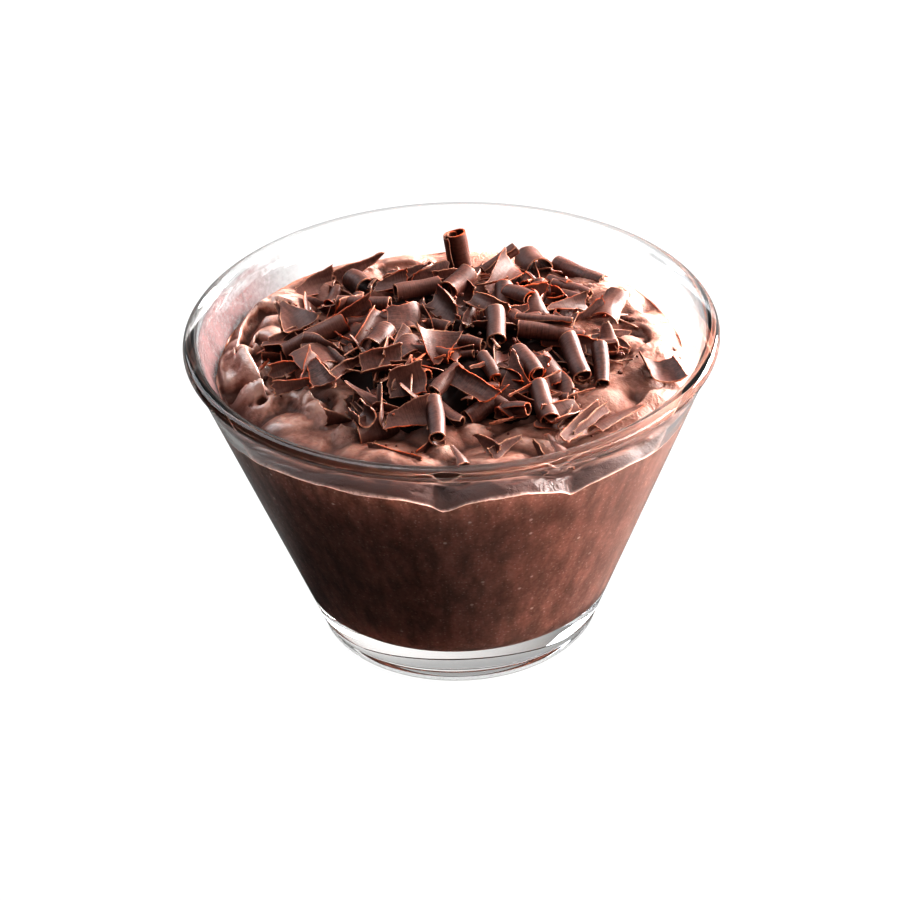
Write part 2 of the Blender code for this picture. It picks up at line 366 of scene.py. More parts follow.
# Dollops pressed against the wall: bearing, distance from the axis, crest height,
# reach round the cup, reach outward
dollops = (
    (-79, 43, 63.0, 10.0, 12), (-111, 43, 63.5, 13, 12), (-136, 43, 61.6, 12, 11),
    (-50, 43, 60.8, 10.0, 11), (-26, 42, 60.2, 10, 10), (-8, 43, 63.4, 12, 11),
    (16, 43, 62.2, 11, 10), (40, 43, 63.8, 10.5, 10), (61, 43, 62.0, 10, 10),
    (82, 43, 62.3, 12, 11), (104, 43, 62.8, 10.5, 11), (122, 43, 64.0, 10.5, 11),
    (148, 45, 64.2, 10, 7), (163, 41, 63.6, 6, 5), (179, 45, 64.4, 9, 6),
    (-163, 41, 62.2, 9, 6), (-146, 32, 63.0, 8, 7), (-127, 35, 61.8, 5, 7),
    (-96, 29, 63.0, 8, 6), (-63, 33, 62.8, 11, 5), (-21, 35, 62.8, 9, 6),
)

# Smaller mounds of the top: x, y, crest height, reach across, reach in depth
mounds = (
    (-3.0, -34.5, 62.2, 5.0, 4.0), (3.5, -28.5, 63.2, 5.0, 4.5), (14.0, -33.4, 62.7, 8.0, 4.0),
    (30.5, -17.0, 62.9, 8.0, 7.0), (-24.5, -16.0, 63.8, 7.0, 7.5), (-33.0, -22.0, 62.4, 7.0, 6.0),
    (-14.0, -33.0, 62.3, 6.0, 4.0), (38.0, 4.0, 63.0, 6.0, 6.5), (35.0, 22.0, 63.4, 6.5, 7.0),
    (-37.0, 28.0, 63.8, 5.0, 6.0), (27.5, -33.5, 60.6, 6.0, 4.0),
)

# Folds left by the spoon: the crest's line in plan, rise, width, lean, depth of the hollow
# beside it, and the hollow's side (1 is to the left along the line, -1 to the right)
folds = (
    (((-45.9, 6), (-46.4, 11.5), (-45.6, 16.5), (-44, 20.3), (-42, 22.7), (-38.5, 23.5)),
     2.6, 0.9, 0.9, 2.6, -1),
    (((-42.5, 9), (-43.9, 5), (-43.9, 0.5), (-42, -3.2), (-40.4, -7), (-39.4, -10.4)),
     2.5, 0.8, 0.9, 2.6, 1),
    (((-48.9, 5), (-48.9, -1), (-47.6, -7)), 1.7, 1.0, 0.2, 0.9, 1),
    (((-46.6, -10), (-41, -11.4), (-34.6, -11.6), (-31, -13.8), (-28.5, -17)), 2.6, 1.1, 0.8, 2.4, 1),
    (((-41, -14.0), (-39.3, -12.9), (-37.8, -14.2), (-38.9, -15.8), (-40.6, -15.4)),
     0.9, 0.5, 0.1, 0.9, -1),
    (((-31.7, -8.7), (-29.2, -6.1), (-25.5, -5.1), (-22.3, -8)), 1.4, 1.0, 0.3, 1.4, 1),
    (((-6.4, -44), (-4.1, -41.6), (-1.5, -43), (-2, -46.6)), 1.0, 0.8, 0.3, 0.6, -1),
    (((21.5, -46), (20.5, -41), (22.5, -38)), 0.8, 0.8, 0.2, 0.5, -1),
    (((30, -27), (36, -22), (41, -15.5), (44, -14)), 0.8, 1.1, 0.3, 0.6, 1),
    (((39, -2), (42.5, 2.5), (43, 8), (40, 12)), 0.9, 1.2, 0.4, 0.7, 1),
    (((33, 25), (38, 21), (41.5, 15)), 0.7, 1.1, 0.3, 0.5, 1),
    (((-36, -33), (-28, -37.5), (-19, -41.5)), 0.9, 1.3, 0.3, 0.6, 1),
    (((-22, 36), (-14, 40.5), (-5, 42)), 0.8, 1.3, 0.3, 0.6, -1),
)

# Pulled peaks: x, y, height, width, lean x, lean y
peaks = (
    (-23.5, -26.2, 3.0, 2.3, 0.9, -0.7), (-1.8, -45.0, 1.0, 1.3, 0.2, 0.3),
    (44.5, 4.5, 1.0, 1.5, 0.4, 0.1), (37.5, -24.5, 0.9, 1.4, 0.2, 0.3),
    (-42.0, 8.5, 1.2, 1.5, 0.5, 0.2),
)

# Hollows: x, y, depth, radius
hollows = (
    (-38.0, 0.0, 2.6, 5.0), (-39.3, -14.4, 2.0, 0.9), (-45.8, -9.0, 1.6, 1.3), (8.5, -39.0, 0.7, 3.0),
    (46.6, 2.6, 1.3, 0.8), (47.6, -0.8, 1.0, 0.7), (41.5, 5.0, 0.8, 1.3), (29.5, -39.0, 0.6, 3.0),
    (-2.7, -50.0, 2.2, 2.0), (22.8, -44.8, 1.8, 2.0), (-3.4, -45.6, 0.9, 1.6), (43.4, -9.4, 2.3, 4.6),
)

# The line where the mousse meets the glass: bearing, height
contactLine = (
    (-180, 60.5), (-170, 59.0), (-160, 57.6), (-149, 56.9), (-136, 58.9), (-120, 60.9), (-113, 60.5),
    (-105, 60.5), (-100, 59.7), (-96, 58.0), (-93, 55.8), (-88, 59.2), (-83, 60.5), (-76, 60.3),
    (-66, 58.2), (-63, 55.9), (-57, 57.1), (-51, 57.4), (-44, 56.9), (-37, 54.9), (-30, 54.3),
    (-18, 56.0), (-5, 59.0), (15, 60.4), (35, 61.0), (60, 60.2), (85, 60.6), (105, 60.0),
    (125, 61.4), (145, 61.8), (160, 60.8), (180, 60.5),
)


def mousseBase(x, y):
    # the dome and the dollops, softly joined, as arrays
    heights = [mousse["domeCrest"] - mousse["drop"] * (x * x + y * y) / mousse["domeReach"] ** 2]
    for bearing, distance, crest, around, outward in dollops:
        a = radians(bearing)
        dx = x - distance * cos(a)
        dy = y - distance * sin(a)
        u = (dy * cos(a) - dx * sin(a)) / around
        v = (dx * cos(a) + dy * sin(a)) / outward
        heights.append(crest - mousse["drop"] * (u * u + v * v))
    for mx, my, crest, across, deep in mounds:
        heights.append(crest - mousse["drop"] * (((x - mx) / across) ** 2 + ((y - my) / deep) ** 2))
    heights = np.array(heights)
    highest = heights.max(axis=0)
    return highest + mousse["melt"] * np.log(np.exp((heights - highest) / mousse["melt"]).sum(axis=0))


def besideLine(x, y, line):
    # distance to a line of plan points, the side, the unit vector away from it, and the end fade
    best = np.full_like(x, 1e9)
    side, awayX, awayY = np.ones_like(x), np.zeros_like(x), np.zeros_like(x)
    for (ax, ay), (bx, by) in zip(line, line[1:]):
        sx, sy = bx - ax, by - ay
        share = np.clip(((x - ax) * sx + (y - ay) * sy) / (sx * sx + sy * sy), 0.0, 1.0)
        dx, dy = x - ax - share * sx, y - ay - share * sy
        distance = np.hypot(dx, dy)
        nearer = distance < best
        best = np.where(nearer, distance, best)
        side = np.where(nearer, np.sign(sx * dy - sy * dx), side)
        awayX = np.where(nearer, dx / (distance + 1e-6), awayX)
        awayY = np.where(nearer, dy / (distance + 1e-6), awayY)
    fade = np.ones_like(x)
    for end in (line[0], line[-1]):
        fade = fade * (1.0 - 0.85 * np.exp(-((x - end[0]) ** 2 + (y - end[1]) ** 2) / 3.0))
    return best, side, awayX, awayY, fade


def drawnShape(x, y):
    # folds, peaks and hollows: the rise, and how far the surface is pushed sideways
    rise = np.zeros_like(x)
    pushX = np.zeros_like(x)
    pushY = np.zeros_like(x)
    wobble = 0.35 * noiseAt(ringPoints(x, y, 0.0), 2.2, 41.0)
    for line, height, width, lean, depth, hollowSide in folds:
        distance, side, awayX, awayY, fade = besideLine(x, y, line)
        inHollow = side * hollowSide > 0
        d = np.abs(distance + wobble * np.clip(distance, 0.0, 1.0)) / width
        # the crest drops steeply into its hollow and gently away from it
        crest = np.where(inHollow, np.exp(-(d / 0.6) ** 2), np.exp(-(d / 2.2) ** 2))
        dip = np.where(inHollow, np.exp(-((d - 2.6) / 1.6) ** 2) * np.clip(d / 0.8, 0.0, 1.0), 0.0)
        rise += (height * crest - depth * dip) * fade
        push = lean * np.exp(-(d / 0.9) ** 2) * fade * np.where(inHollow, 1.0, -1.0)
        # both sides of the crest move towards the hollow, so that it overhangs
        pushX += push * awayX
        pushY += push * awayY
    for px, py, height, width, leanX, leanY in peaks:
        away = np.hypot(x - px, y - py) / width
        tip = np.exp(-1.4 * away)
        rise += height * tip
        pushX += leanX * tip ** 2
        pushY += leanY * tip ** 2
    for hx, hy, depth, radius in hollows:
        rise -= depth * np.exp(-(((x - hx) ** 2 + (y - hy) ** 2) / radius ** 2))
    return rise, pushX, pushY


def whippedRelief(x, y):
    # pleats, ripples, wrinkles and grain, each of its own size in millimetres, rougher in some places
    seed = mousse["seed"]
    flat = ringPoints(x, y, 0.0)
    warp = ringPoints(noiseAt(flat, 9.0, seed), noiseAt(flat, 9.0, seed + 5), 0.0)
    warped = flat + 3.2 * warp
    pleats = 1.0 - 2.0 * np.abs(noiseAt(warped, 7.5, seed + 9))
    ripples = 1.0 - 2.0 * np.abs(noiseAt(warped + 1.5 * warp, 2.6, seed + 13))
    wrinkles = 1.0 - 2.0 * np.abs(noiseAt(warped + 2.0 * warp, 1.25, seed + 17))
    grain = noiseAt(flat, 0.9, seed + 21) + 0.6 * noiseAt(flat, 0.45, seed + 25)
    rough = np.clip(0.5 + 1.6 * noiseAt(flat, 11.0, seed + 31), 0.12, 1.0)
    return (mousse["foldHeight"] * pleats + mousse["rippleHeight"] * ripples * rough
            + (mousse["wrinkleHeight"] * wrinkles + mousse["grainHeight"] * grain) * rough ** 2)


def nearGlass(x, y):
    # 0 in the open, rising to 1 at the glass, more steeply the nearer
    reach = innerRadius(mousse["domeCrest"] - 2.0)
    gap = np.clip((reach - np.hypot(x, y)) / mousse["shoulderReach"], 0.0, 1.0)
    return 1.0 - np.sqrt(1.0 - (1.0 - gap) ** 2)


def mousseTop(x, y):
    # height without the climb at the glass, and the sideways push
    rise, pushX, pushY = drawnShape(x, y)
    inside = mousseBase(x, y) + rise + whippedRelief(x, y)
    bearings, heights = zip(*contactLine)
    line = np.interp(np.degrees(np.arctan2(y, x)), bearings, heights)
    line = line + mousse["lineWobble"] * noiseAt(ringPoints(x, y, 0.0), 1.6, 51.0)
    share = nearGlass(x, y)
    return inside * (1.0 - share) + line * share, pushX, pushY


def topAt(x, y):
    # the top's height at one place
    return float(mousseTop(np.array([x]), np.array([y]))[0][0])


def crestShare(heights):
    # how far each point of the top stands above its surroundings (crests) or below (pits)
    def softened(values, times):
        for _ in range(times):
            around = (np.roll(values, 1, axis=1) + np.roll(values, -1, axis=1)) / 2
            padded = np.vstack([values[:1], values, values[-1:]])
            across = (padded[:-2] + padded[2:]) / 2
            values = 0.34 * values + 0.33 * around + 0.33 * across
        return values

    fine = heights - softened(heights, 6)
    broad = softened(heights, 3) - softened(heights, 60)
    return mousse["fineCrests"] * fine + mousse["broadCrests"] * broad


def buildMousse(topFinish, wallFinish):
    segments = mousse["segments"]
    angles = tau * np.arange(segments) / segments
    cosA, sinA = np.cos(angles), np.sin(angles)
    contact = np.full(segments, innerRadius(mousse["domeCrest"]))
    for _ in range(5):
        contactHeight = mousseTop(contact * cosA, contact * sinA)[0]
        contact = innerRadius(contactHeight)
    edge = ringPoints(cosA * 50.0, sinA * 50.0, 0.0)
    climb = mousse["lipRise"] * np.clip(0.6 + 0.9 * noiseAt(edge, 6.0, 2.0), 0.1, 1.3)
    openFrom = mousse["openFrom"]
    rows = [np.full(segments, radius) for radius in np.linspace(0.02, 1.0, mousse["heapRows"]) * openFrom]
    for share in np.linspace(0.0, 1.0, mousse["openRows"] + 1)[1:]:
        eased = share + mousse["crowding"] * share * (1.0 - share)
        rows.append(openFrom + (contact - openFrom) * eased)
    points, films, paintedShades, heights = [], [], [], []
    for radius in rows:
        x, y = radius * cosA, radius * sinA
        z, pushX, pushY = mousseTop(x, y)
        gap = contact - radius
        hold = np.clip(gap / mousse["pushFade"], 0.0, 1.0)
        z = z + climb * np.exp(-gap / mousse["lipReach"])
        points.append(ringPoints(x + pushX * hold, y + pushY * hold, z))
        heights.append(z)
        films.append(np.exp(-gap / mousse["filmReach"]))
        # painted shade by the glass, strongest on the side that faces this bearing
        facing = np.cos(angles - radians(mousse["shadeBearing"]))
        paintedShades.append(np.clip((mousse["shadeReach"] * facing - gap) / mousse["shadeFade"], 0.0, 1.0))
    crest = points[-1][:, 2]
    corner = cornerArc(-mousse["bite"], mousse["cornerRows"])[::-1]
    for share in [0.0, 0.003] + np.linspace(0.01, 1.0, mousse["sideRows"])[:-1].tolist():
        z = crest - mousse["sideDrop"] + (corner[0][1] - crest + mousse["sideDrop"]) * share
        radius = innerRadius(z, -mousse["bite"])
        points.append(ringPoints(radius * cosA, radius * sinA, z))
    under = cup["base"] + mousse["airUnder"]
    floorRows = [(corner[-1][0] * share, under) for share in (0.97, 0.66, 0.33)]
    for radius, z in corner + floorRows:
        points.append(ringPoints(radius * cosA, radius * sinA, z))
    count = len(points)
    lowest = (count - 1) * segments
    faces = ringFaces(count, segments)
    faces += capFaces(count * segments, count * segments + 1, 0, lowest, segments)
    points = np.vstack(points + [[[0.0, 0.0, topAt(0.0, 0.0)], [0.0, 0.0, under]]])
    onTop = len(rows) * segments
    film, damp, crests = np.zeros((3, len(points)))
    film[:onTop] = np.concatenate(films)
    # the first row of the side takes part of that painted highlight too
    film[onTop:onTop + segments] = 0.7
    damp[:onTop] = np.concatenate(paintedShades)
    crests[:onTop] = crestShare(np.array(heights)).ravel()
    attributes = {"film": film, "damp": damp, "crests": crests}
    mesh = makeMesh("mousseBody", points, faces, attributes, sharpAngle=0)
    addObject("mousseBody", mesh, topFinish, ("mousse",))
    mesh.materials.append(wallFinish)
    onWall = np.arange(len(mesh.polygons)) >= onTop - segments
    onWall[lowest::2] = False      # the fan at the middle of the top
    mesh.polygons.foreach_set("material_index", onWall.astype(np.int32))


def mousseShader(tree, color, roughness, height, strength, specular, wet=0.0):
    bump = addNode(tree, "ShaderNodeBump", None, Strength=strength, Distance=0.00018, Height=height)
    shader = addNode(tree, "ShaderNodeBsdfPrincipled", None, Base_Color=color, Roughness=roughness,
                     Normal=bump.outputs[0], IOR=1.42, Specular_IOR_Level=specular, Coat_Weight=wet)
    shader.inputs["Coat Roughness"].default_value = 0.22
    shader.inputs["Subsurface Weight"].default_value = 0.35
    shader.inputs["Subsurface Radius"].default_value = (1.0, 0.42, 0.28)
    shader.inputs["Subsurface Scale"].default_value = 0.0008
    closeMaterial(tree, shader)


def makeMousseTop():
    made, tree = newMaterial("whipped mousse")
    place = objectPlace(tree)
    top = useGroup(tree, mottle, Vector=place, Scale=110.0, Light=(0.37, 0.186, 0.142, 1),
                   Dark=(0.20, 0.080, 0.056, 1), Fine=0.55)
    pores = cellNode(tree, place, 1300.0)
    poreDepth = rangeOf(tree, pores["Distance"], 0.05, 0.3)
    foam = noiseNode(tree, place, 900.0, 4.0, 0.6)
    height = mathNode(tree, "ADD", product(tree, poreDepth, 0.35), foam)
    # little folds too fine to model, rougher in some places than in others
    patches = rangeOf(tree, noiseNode(tree, place, 90.0, 1.0), 0.42, 0.62, 0.15, 1.0)
    folded = noiseNode(tree, place, 480.0, 3.0, 0.55, 1.2)
    folded = product(tree, product(tree, folded, 2.2), patches)
    height = mathNode(tree, "ADD", height, folded)
    shine = rangeOf(tree, noiseNode(tree, place, 70.0, 2.0), 0.35, 0.65, 0.46, 0.64)
    # painted shade in the pits and a painted highlight on the crests
    crests = meshValue(tree, "crests")
    pits = rangeOf(tree, crests, -0.55, -0.02, 0.85, 0.0)
    color = mixColor(tree, pits, top["Color"], (0.065, 0.024, 0.016))
    color = mixColor(tree, rangeOf(tree, crests, 0.05, 0.6, 0.0, 0.65), color, (0.56, 0.36, 0.30))
    # painted shade at the far right, where strong light would hide its pores
    sides = addNode(tree, "ShaderNodeSeparateXYZ", None, Vector=place).outputs
    rightShade = rangeOf(tree, sides["X"], 0.033, 0.046, 0.0, 0.35)
    color = mixColor(tree, rightShade, color, (0.20, 0.095, 0.070))
    # painted shade on the mousse by the glass, in front
    damp = meshValue(tree, "damp")
    color = mixColor(tree, damp, color, (0.066, 0.020, 0.013))
    # a painted highlight pales the thin edge by the glass, turning orange-brown towards the back
    film = meshValue(tree, "film")
    beads = rangeOf(tree, noiseNode(tree, place, 1400.0, 2.0), 0.35, 0.6, 0.45, 1.0)
    film = product(tree, rangeOf(tree, film, 0.1, 0.9, 0.0, 0.9), beads)
    toBack = rangeOf(tree, sides["Y"], -0.012, 0.004)
    lineColor = mixColor(tree, toBack, (0.66, 0.44, 0.38), (0.34, 0.13, 0.06))
    color = mixColor(tree, film, color, lineColor)
    # the folds on the left are the wettest
    toLeft = rangeOf(tree, sides["X"], -0.036, -0.026, 1.0, 0.0)
    wet = product(tree, toLeft, rangeOf(tree, crests, -0.05, 0.35))
    mousseShader(tree, color, shine, height, 0.9, 0.28, wet)
    return made


def makeMousseWall():
    # pressed flat against the glass, so it has hardly any shine of its own
    made, tree = newMaterial("mousse against glass")
    place = objectPlace(tree)
    wall = useGroup(tree, mottle, Vector=place, Scale=190.0, Light=(0.265, 0.119, 0.088, 1),
                    Dark=(0.195, 0.080, 0.058, 1), Fine=0.7)
    # air bubbles pressed against the glass: fine pale specks, and a few larger
    specks = cellNode(tree, place, 1250.0)
    pick = firstChannel(tree, specks["Color"])
    dots = product(tree, rangeOf(tree, specks["Distance"], 0.14, 0.34, 1.0, 0.0),
                    rangeOf(tree, pick, 0.2, 0.8))
    large = cellNode(tree, place, 420.0)
    pickLarge = firstChannel(tree, large["Color"])
    bubbles = product(tree, rangeOf(tree, large["Distance"], 0.10, 0.20, 1.0, 0.0),
                       rangeOf(tree, pickLarge, 0.90, 0.93))
    spots = mathNode(tree, "MAXIMUM", product(tree, dots, 0.45), bubbles)
    wallColor = mixColor(tree, spots, wall["Color"], (0.50, 0.32, 0.26))
    # a painted highlight pales the side just under the line where it meets the top
    film = meshValue(tree, "film")
    wallColor = mixColor(tree, rangeOf(tree, film, 0.3, 0.7), wallColor, (0.66, 0.42, 0.35))
    # the spoon's downward streaks
    stretched = stretchedBy(tree, place, (1.0, 1.0, 0.05))
    streak = rangeOf(tree, noiseNode(tree, stretched, 330.0, 3.0, 0.6), 0.35, 0.7, 0.68, 1.32)
    wallColor = mixColor(tree, 1.0, wallColor, streak, "MULTIPLY")
    # painted darker round at the back, in place of shade
    sides = addNode(tree, "ShaderNodeSeparateXYZ", None, Vector=place).outputs
    toBack = rangeOf(tree, sides["Y"], -0.006, 0.016, 0.0, 0.78)
    wallColor = mixColor(tree, toBack, wallColor, (0.062, 0.024, 0.016))
    # and paler at the front right, in place of light
    paler = product(tree, rangeOf(tree, sides["X"], 0.020, 0.045, 0.0, 0.30),
                     rangeOf(tree, sides["Y"], -0.012, 0.0, 1.0, 0.0))
    wallColor = mixColor(tree, paler, wallColor, (0.52, 0.34, 0.30))
    soft = noiseNode(tree, place, 500.0, 3.0)
    mousseShader(tree, wallColor, 0.6, soft, 0.15, 0.05)
    return made


# The thin film of mousse that the spoon left on the glass above the filling, on the left
smear = {
    "from": 128.0, "to": 216.0,      # bearings
    "low": 58.0, "high": 69.4,
    "gap": 0.05,                     # how far it lies inside the glass
    "columns": 120, "rows": 26, "cover": 0.9,
}


def buildSmear(material):
    bearings = np.radians(np.linspace(smear["from"], smear["to"], smear["columns"]))
    heights = np.linspace(smear["low"], smear["high"], smear["rows"])
    points, faces, along, upward = [], [], [], []
    for z in heights:
        radius = innerRadius(z, smear["gap"])
        points.append(ringPoints(radius * np.cos(bearings), radius * np.sin(bearings), z))
        along.append(np.linspace(0.0, 1.0, len(bearings)))
        upward.append(np.full(len(bearings), (z - smear["low"]) / (smear["high"] - smear["low"])))
    columns = smear["columns"]
    for row in range(smear["rows"] - 1):
        a = row * columns
        faces += [(a + k + 1, a + k, a + columns + k, a + columns + k + 1) for k in range(columns - 1)]
    attributes = {"along": np.concatenate(along), "upward": np.concatenate(upward)}
    mesh = makeMesh("mousseSmear", np.vstack(points), faces, attributes, sharpAngle=0)
    addObject("mousseSmear", mesh, material)


def makeSmear():
    made, tree = newMaterial("smeared mousse")
    place = objectPlace(tree)
    along = meshValue(tree, "along")
    upward = meshValue(tree, "upward")
    tint = useGroup(tree, mottle, Vector=place, Scale=120.0, Light=(0.15, 0.066, 0.064, 1),
                    Dark=(0.07, 0.027, 0.026, 1), Fine=0.3)
    # wide strokes running round the glass, fading upwards and to both ends
    strokes = addNode(tree, "ShaderNodeCombineXYZ", None, X=product(tree, along, 3.0),
                      Y=product(tree, upward, 2.4)).outputs[0]
    stroke = noiseNode(tree, strokes, 1.7, 3.0, 0.55, 0.6)
    reach = mathNode(tree, "ADD", product(tree, upward, 0.8), product(tree, stroke, 0.8))
    cover = rangeOf(tree, reach, 1.0, 1.3, 1.0, 0.0)
    ends = product(tree, rangeOf(tree, along, 0.0, 0.25), rangeOf(tree, along, 0.75, 1.0, 1.0, 0.0))
    grain = rangeOf(tree, noiseNode(tree, place, 900.0, 3.0), 0.3, 0.7, 0.7, 1.0)
    alpha = product(tree, product(tree, cover, ends), product(tree, grain, smear["cover"]))
    shader = addNode(tree, "ShaderNodeBsdfPrincipled", None, Base_Color=tint["Color"], Roughness=0.6,
                     Alpha=alpha, Specular_IOR_Level=0.2)
    closeMaterial(tree, shader)
    return made


print("mousse")
buildMousse(makeMousseTop(), makeMousseWall())
buildSmear(makeSmear())


# chocolate

def makeChocolate():
    made, tree = newMaterial("dark chocolate")
    sheetPlace = meshValue(tree, "sheet", "Vector")
    tone = meshValue(tree, "tone")
    rim = meshValue(tree, "rim")
    place = objectPlace(tree)
    body = useGroup(tree, mottle, Vector=place, Scale=230.0, Light=(0.145, 0.051, 0.037, 1),
                    Dark=(0.036, 0.0095, 0.006, 1), Fine=0.5)
    milky = mixColor(tree, product(tree, tone, 0.5), body["Color"], (0.150, 0.064, 0.048))
    # the blade's fine scratches run across the sheet
    scratched = stretchedBy(tree, sheetPlace, (4.2, 0.14, 1.0))
    scratch = noiseNode(tree, scratched, 1.0, 4.0, 0.65)
    streaked = mixColor(tree, rangeOf(tree, scratch, 0.48, 0.72, 0.0, 0.32), milky, (0.20, 0.092, 0.068))
    streaked = mixColor(tree, rangeOf(tree, scratch, 0.28, 0.46, 0.44, 0.0), streaked, (0.020, 0.006, 0.004))
    # broken edges are paler, partly their own colour and partly a painted highlight, and here and there
    # orange, a painted glow of light shining through them
    chip = noiseNode(tree, place, 1500.0, 2.0)
    edge = product(tree, rangeOf(tree, rim, 0.38, 0.85), rangeOf(tree, chip, 0.3, 0.6, 0.4, 1.0))
    warm = rangeOf(tree, noiseNode(tree, place, 95.0, 1.0), 0.52, 0.64)
    edgeColor = mixColor(tree, warm, (0.44, 0.215, 0.145), (0.52, 0.105, 0.032))
    color = mixColor(tree, edge, streaked, edgeColor)
    height = mathNode(tree, "ADD", product(tree, scratch, 0.8), noiseNode(tree, place, 1100.0, 3.0))
    bump = addNode(tree, "ShaderNodeBump", None, Strength=0.45, Distance=0.00012, Height=height)
    rough = rangeOf(tree, noiseNode(tree, place, 330.0, 3.0), 0.3, 0.7, 0.40, 0.60)
    shader = addNode(tree, "ShaderNodeBsdfPrincipled", None, Base_Color=color, Roughness=rough,
                     Normal=bump.outputs[0], IOR=1.48, Specular_IOR_Level=0.30)
    shader.inputs["Subsurface Weight"].default_value = 0.12
    shader.inputs["Subsurface Radius"].default_value = (1.0, 0.22, 0.07)
    shader.inputs["Subsurface Scale"].default_value = 0.0006
    closeMaterial(tree, shader)
    return made


def makeChocolateInShade():
    # painted shade: the chocolate deep between the curls, darker than the curls, where hardly any light
    # comes
    made, tree = newMaterial("chocolate painted in shade")
    place = objectPlace(tree)
    body = useGroup(tree, mottle, Vector=place, Scale=260.0, Light=(0.030, 0.010, 0.007, 1),
                    Dark=(0.012, 0.004, 0.003, 1), Fine=0.3)
    shader = addNode(tree, "ShaderNodeBsdfPrincipled", None, Base_Color=body["Color"],
                     Specular_IOR_Level=0.15, Roughness=rangeOf(tree, body["Mask"], 0.0, 1.0, 0.65, 0.85))
    closeMaterial(tree, shader)
    return made


chocolate = makeChocolate()

sheet = {
    "thickness": 0.46, "pitch": 0.95,      # a roll's layers lie this far apart
    "ripple": 0.018, "rippleLength": 1.3, "sway": 0.14,
    "endJag": 0.45, "sideJag": 0.35,
    "tightest": 0.35,        # the smallest radius that a roll can take
    "rimReach": 0.30,        # how far from a broken edge the colour turns paler
}


def jagged(rng, count, size):
    # a ragged line: slow waves with small nicks
    s = np.linspace(0.0, 1.0, count)
    line = np.zeros(count)
    for waves in (1, 2, 3, 5, 8):
        swing = rng.uniform(-1, 1)
        bends = waves * rng.uniform(0.7, 1.3) * s + rng.random()
        line += swing * np.sin(tau * bends) / waves ** 0.6
    return size * line / 1.8


def runningSum(values, steps, start):
    # the integral along each row, nought where start says
    total = np.zeros_like(values)
    total[:, 1:] = np.cumsum((values[:, 1:] + values[:, :-1]) / 2 * np.diff(steps, axis=1), axis=1)
    return total - np.array([np.interp(0.0, row, sums) for row, sums in zip(start, total)])[:, None]


def rolledSheet(form, rng, along=14, across=22, wear=1.0):
    # a thin shaving rolled about X: points, faces and the material's three attributes
    length, width, rollRadius, nearEnd, farEnd, *more = form
    bend, flare, slant, hook, twist, belly = (more + [0.0] * 6)[:6]
    u = -0.5 * np.cos(pi * np.arange(along) / (along - 1))[:, None] + np.zeros((1, across))
    v = -0.5 * np.cos(pi * (0.06 + 0.88 * np.arange(across) / (across - 1)))[None, :] / cos(0.06 * pi)
    v = v + np.zeros((along, 1))
    ragged = min(1.0, length / 8.0) * wear
    ends = np.where(u > 0, jagged(rng, across, sheet["endJag"] * ragged)[None, :],
                    jagged(rng, across, sheet["endJag"] * ragged)[None, :])
    edges = np.where(v > 0, jagged(rng, along, sheet["sideJag"] * ragged)[:, None],
                     jagged(rng, along, sheet["sideJag"] * ragged)[:, None])
    share = nearEnd + (farEnd - nearEnd) * (u + 0.5) + belly * (1.0 - 4.0 * u * u)
    x = u * length + ends * np.sign(u) * (2 * np.abs(u)) ** 3 + slant * v * np.abs(2 * u)
    t = v * width * share + edges * (2 * np.abs(v)) ** 3 * np.sign(v)
    radius = rollRadius * (1.0 + flare * u) + sheet["pitch"] * t / (tau * rollRadius)
    # a hooked sheet curls in more tightly towards one of its long sides
    hooked = hook * np.clip(2.0 * v * (1.0 if hook > 0 else -1.0), 0.0, 1.0) ** 2
    turn = runningSum(1.0 / np.maximum(radius, sheet["tightest"]) + np.abs(hooked), t, v)
    y = runningSum(np.cos(turn), t, v)
    z = runningSum(np.sin(turn), t, v)
    phase = rng.uniform(0.0, tau)
    wave = sheet["ripple"] * np.sin(tau * t / sheet["rippleLength"] + phase + 1.5 * np.sin(0.9 * x + phase))
    wave = wave + sheet["sway"] * np.sin(tau * x / (length * rng.uniform(0.8, 1.6)) + phase + 0.4 * t)
    y, z = y - wave * np.sin(turn), z + wave * np.cos(turn)
    lean = np.radians(twist) * u
    y, z = y * np.cos(lean) - z * np.sin(lean), y * np.sin(lean) + z * np.cos(lean)
    z = z + bend * (u * length) ** 2
    middle = np.stack([x, y, z], axis=-1)
    normal = np.cross(np.gradient(middle, axis=0), np.gradient(middle, axis=1))
    normal /= np.linalg.norm(normal, axis=-1, keepdims=True) + 1e-9
    thin = (0.45 + 0.55 * (1.0 - (2 * np.abs(v)) ** 4)) * (0.7 + 0.3 * (1.0 - (2 * np.abs(u)) ** 4))
    half = (sheet["thickness"] / 2 * thin)[..., None] * normal
    points = np.concatenate([(middle + half).reshape(-1, 3), (middle - half).reshape(-1, 3)])
    count = along * across
    faces = []
    for i in range(along - 1):
        for j in range(across - 1):
            a = i * across + j
            b = a + across
            faces.append((a, b, b + 1, a + 1))
            faces.append((count + a, count + a + 1, count + b + 1, count + b))
    border = [i * across for i in range(along)]
    border += [(along - 1) * across + j for j in range(1, across)]
    border += [i * across + across - 1 for i in range(along - 2, -1, -1)]
    border += range(across - 2, 0, -1)
    for a, b in zip(border, border[1:] + border[:1]):
        faces.append((a, count + a, count + b, b))
    fromEnd = (0.5 - np.abs(u)) * length
    fromSide = (0.5 - np.abs(v)) * width * share
    rim = np.exp(-np.minimum(fromEnd, fromSide) / sheet["rimReach"]).ravel()
    place = np.stack([x, t, np.zeros_like(x) + rng.uniform(0.0, 50.0)], axis=-1).reshape(-1, 3)
    return {
        "points": points, "faces": faces, "rim": np.concatenate([rim, rim]),
        "sheet": np.concatenate([place, place]), "tone": np.full(2 * count, rng.random()),
    }


def turned(body, place, centred=0.0):
    # stands the body at x, y, z with its heading, tilt and spin
    x, y, z, heading, tilt, spin = place
    rotation = np.array(Euler((radians(spin), radians(-tilt), radians(heading))).to_matrix())
    local = body["points"] - np.array([0.0, 0.0, centred])
    body["points"] = local @ rotation.T + np.array([x, y, z])
    return body


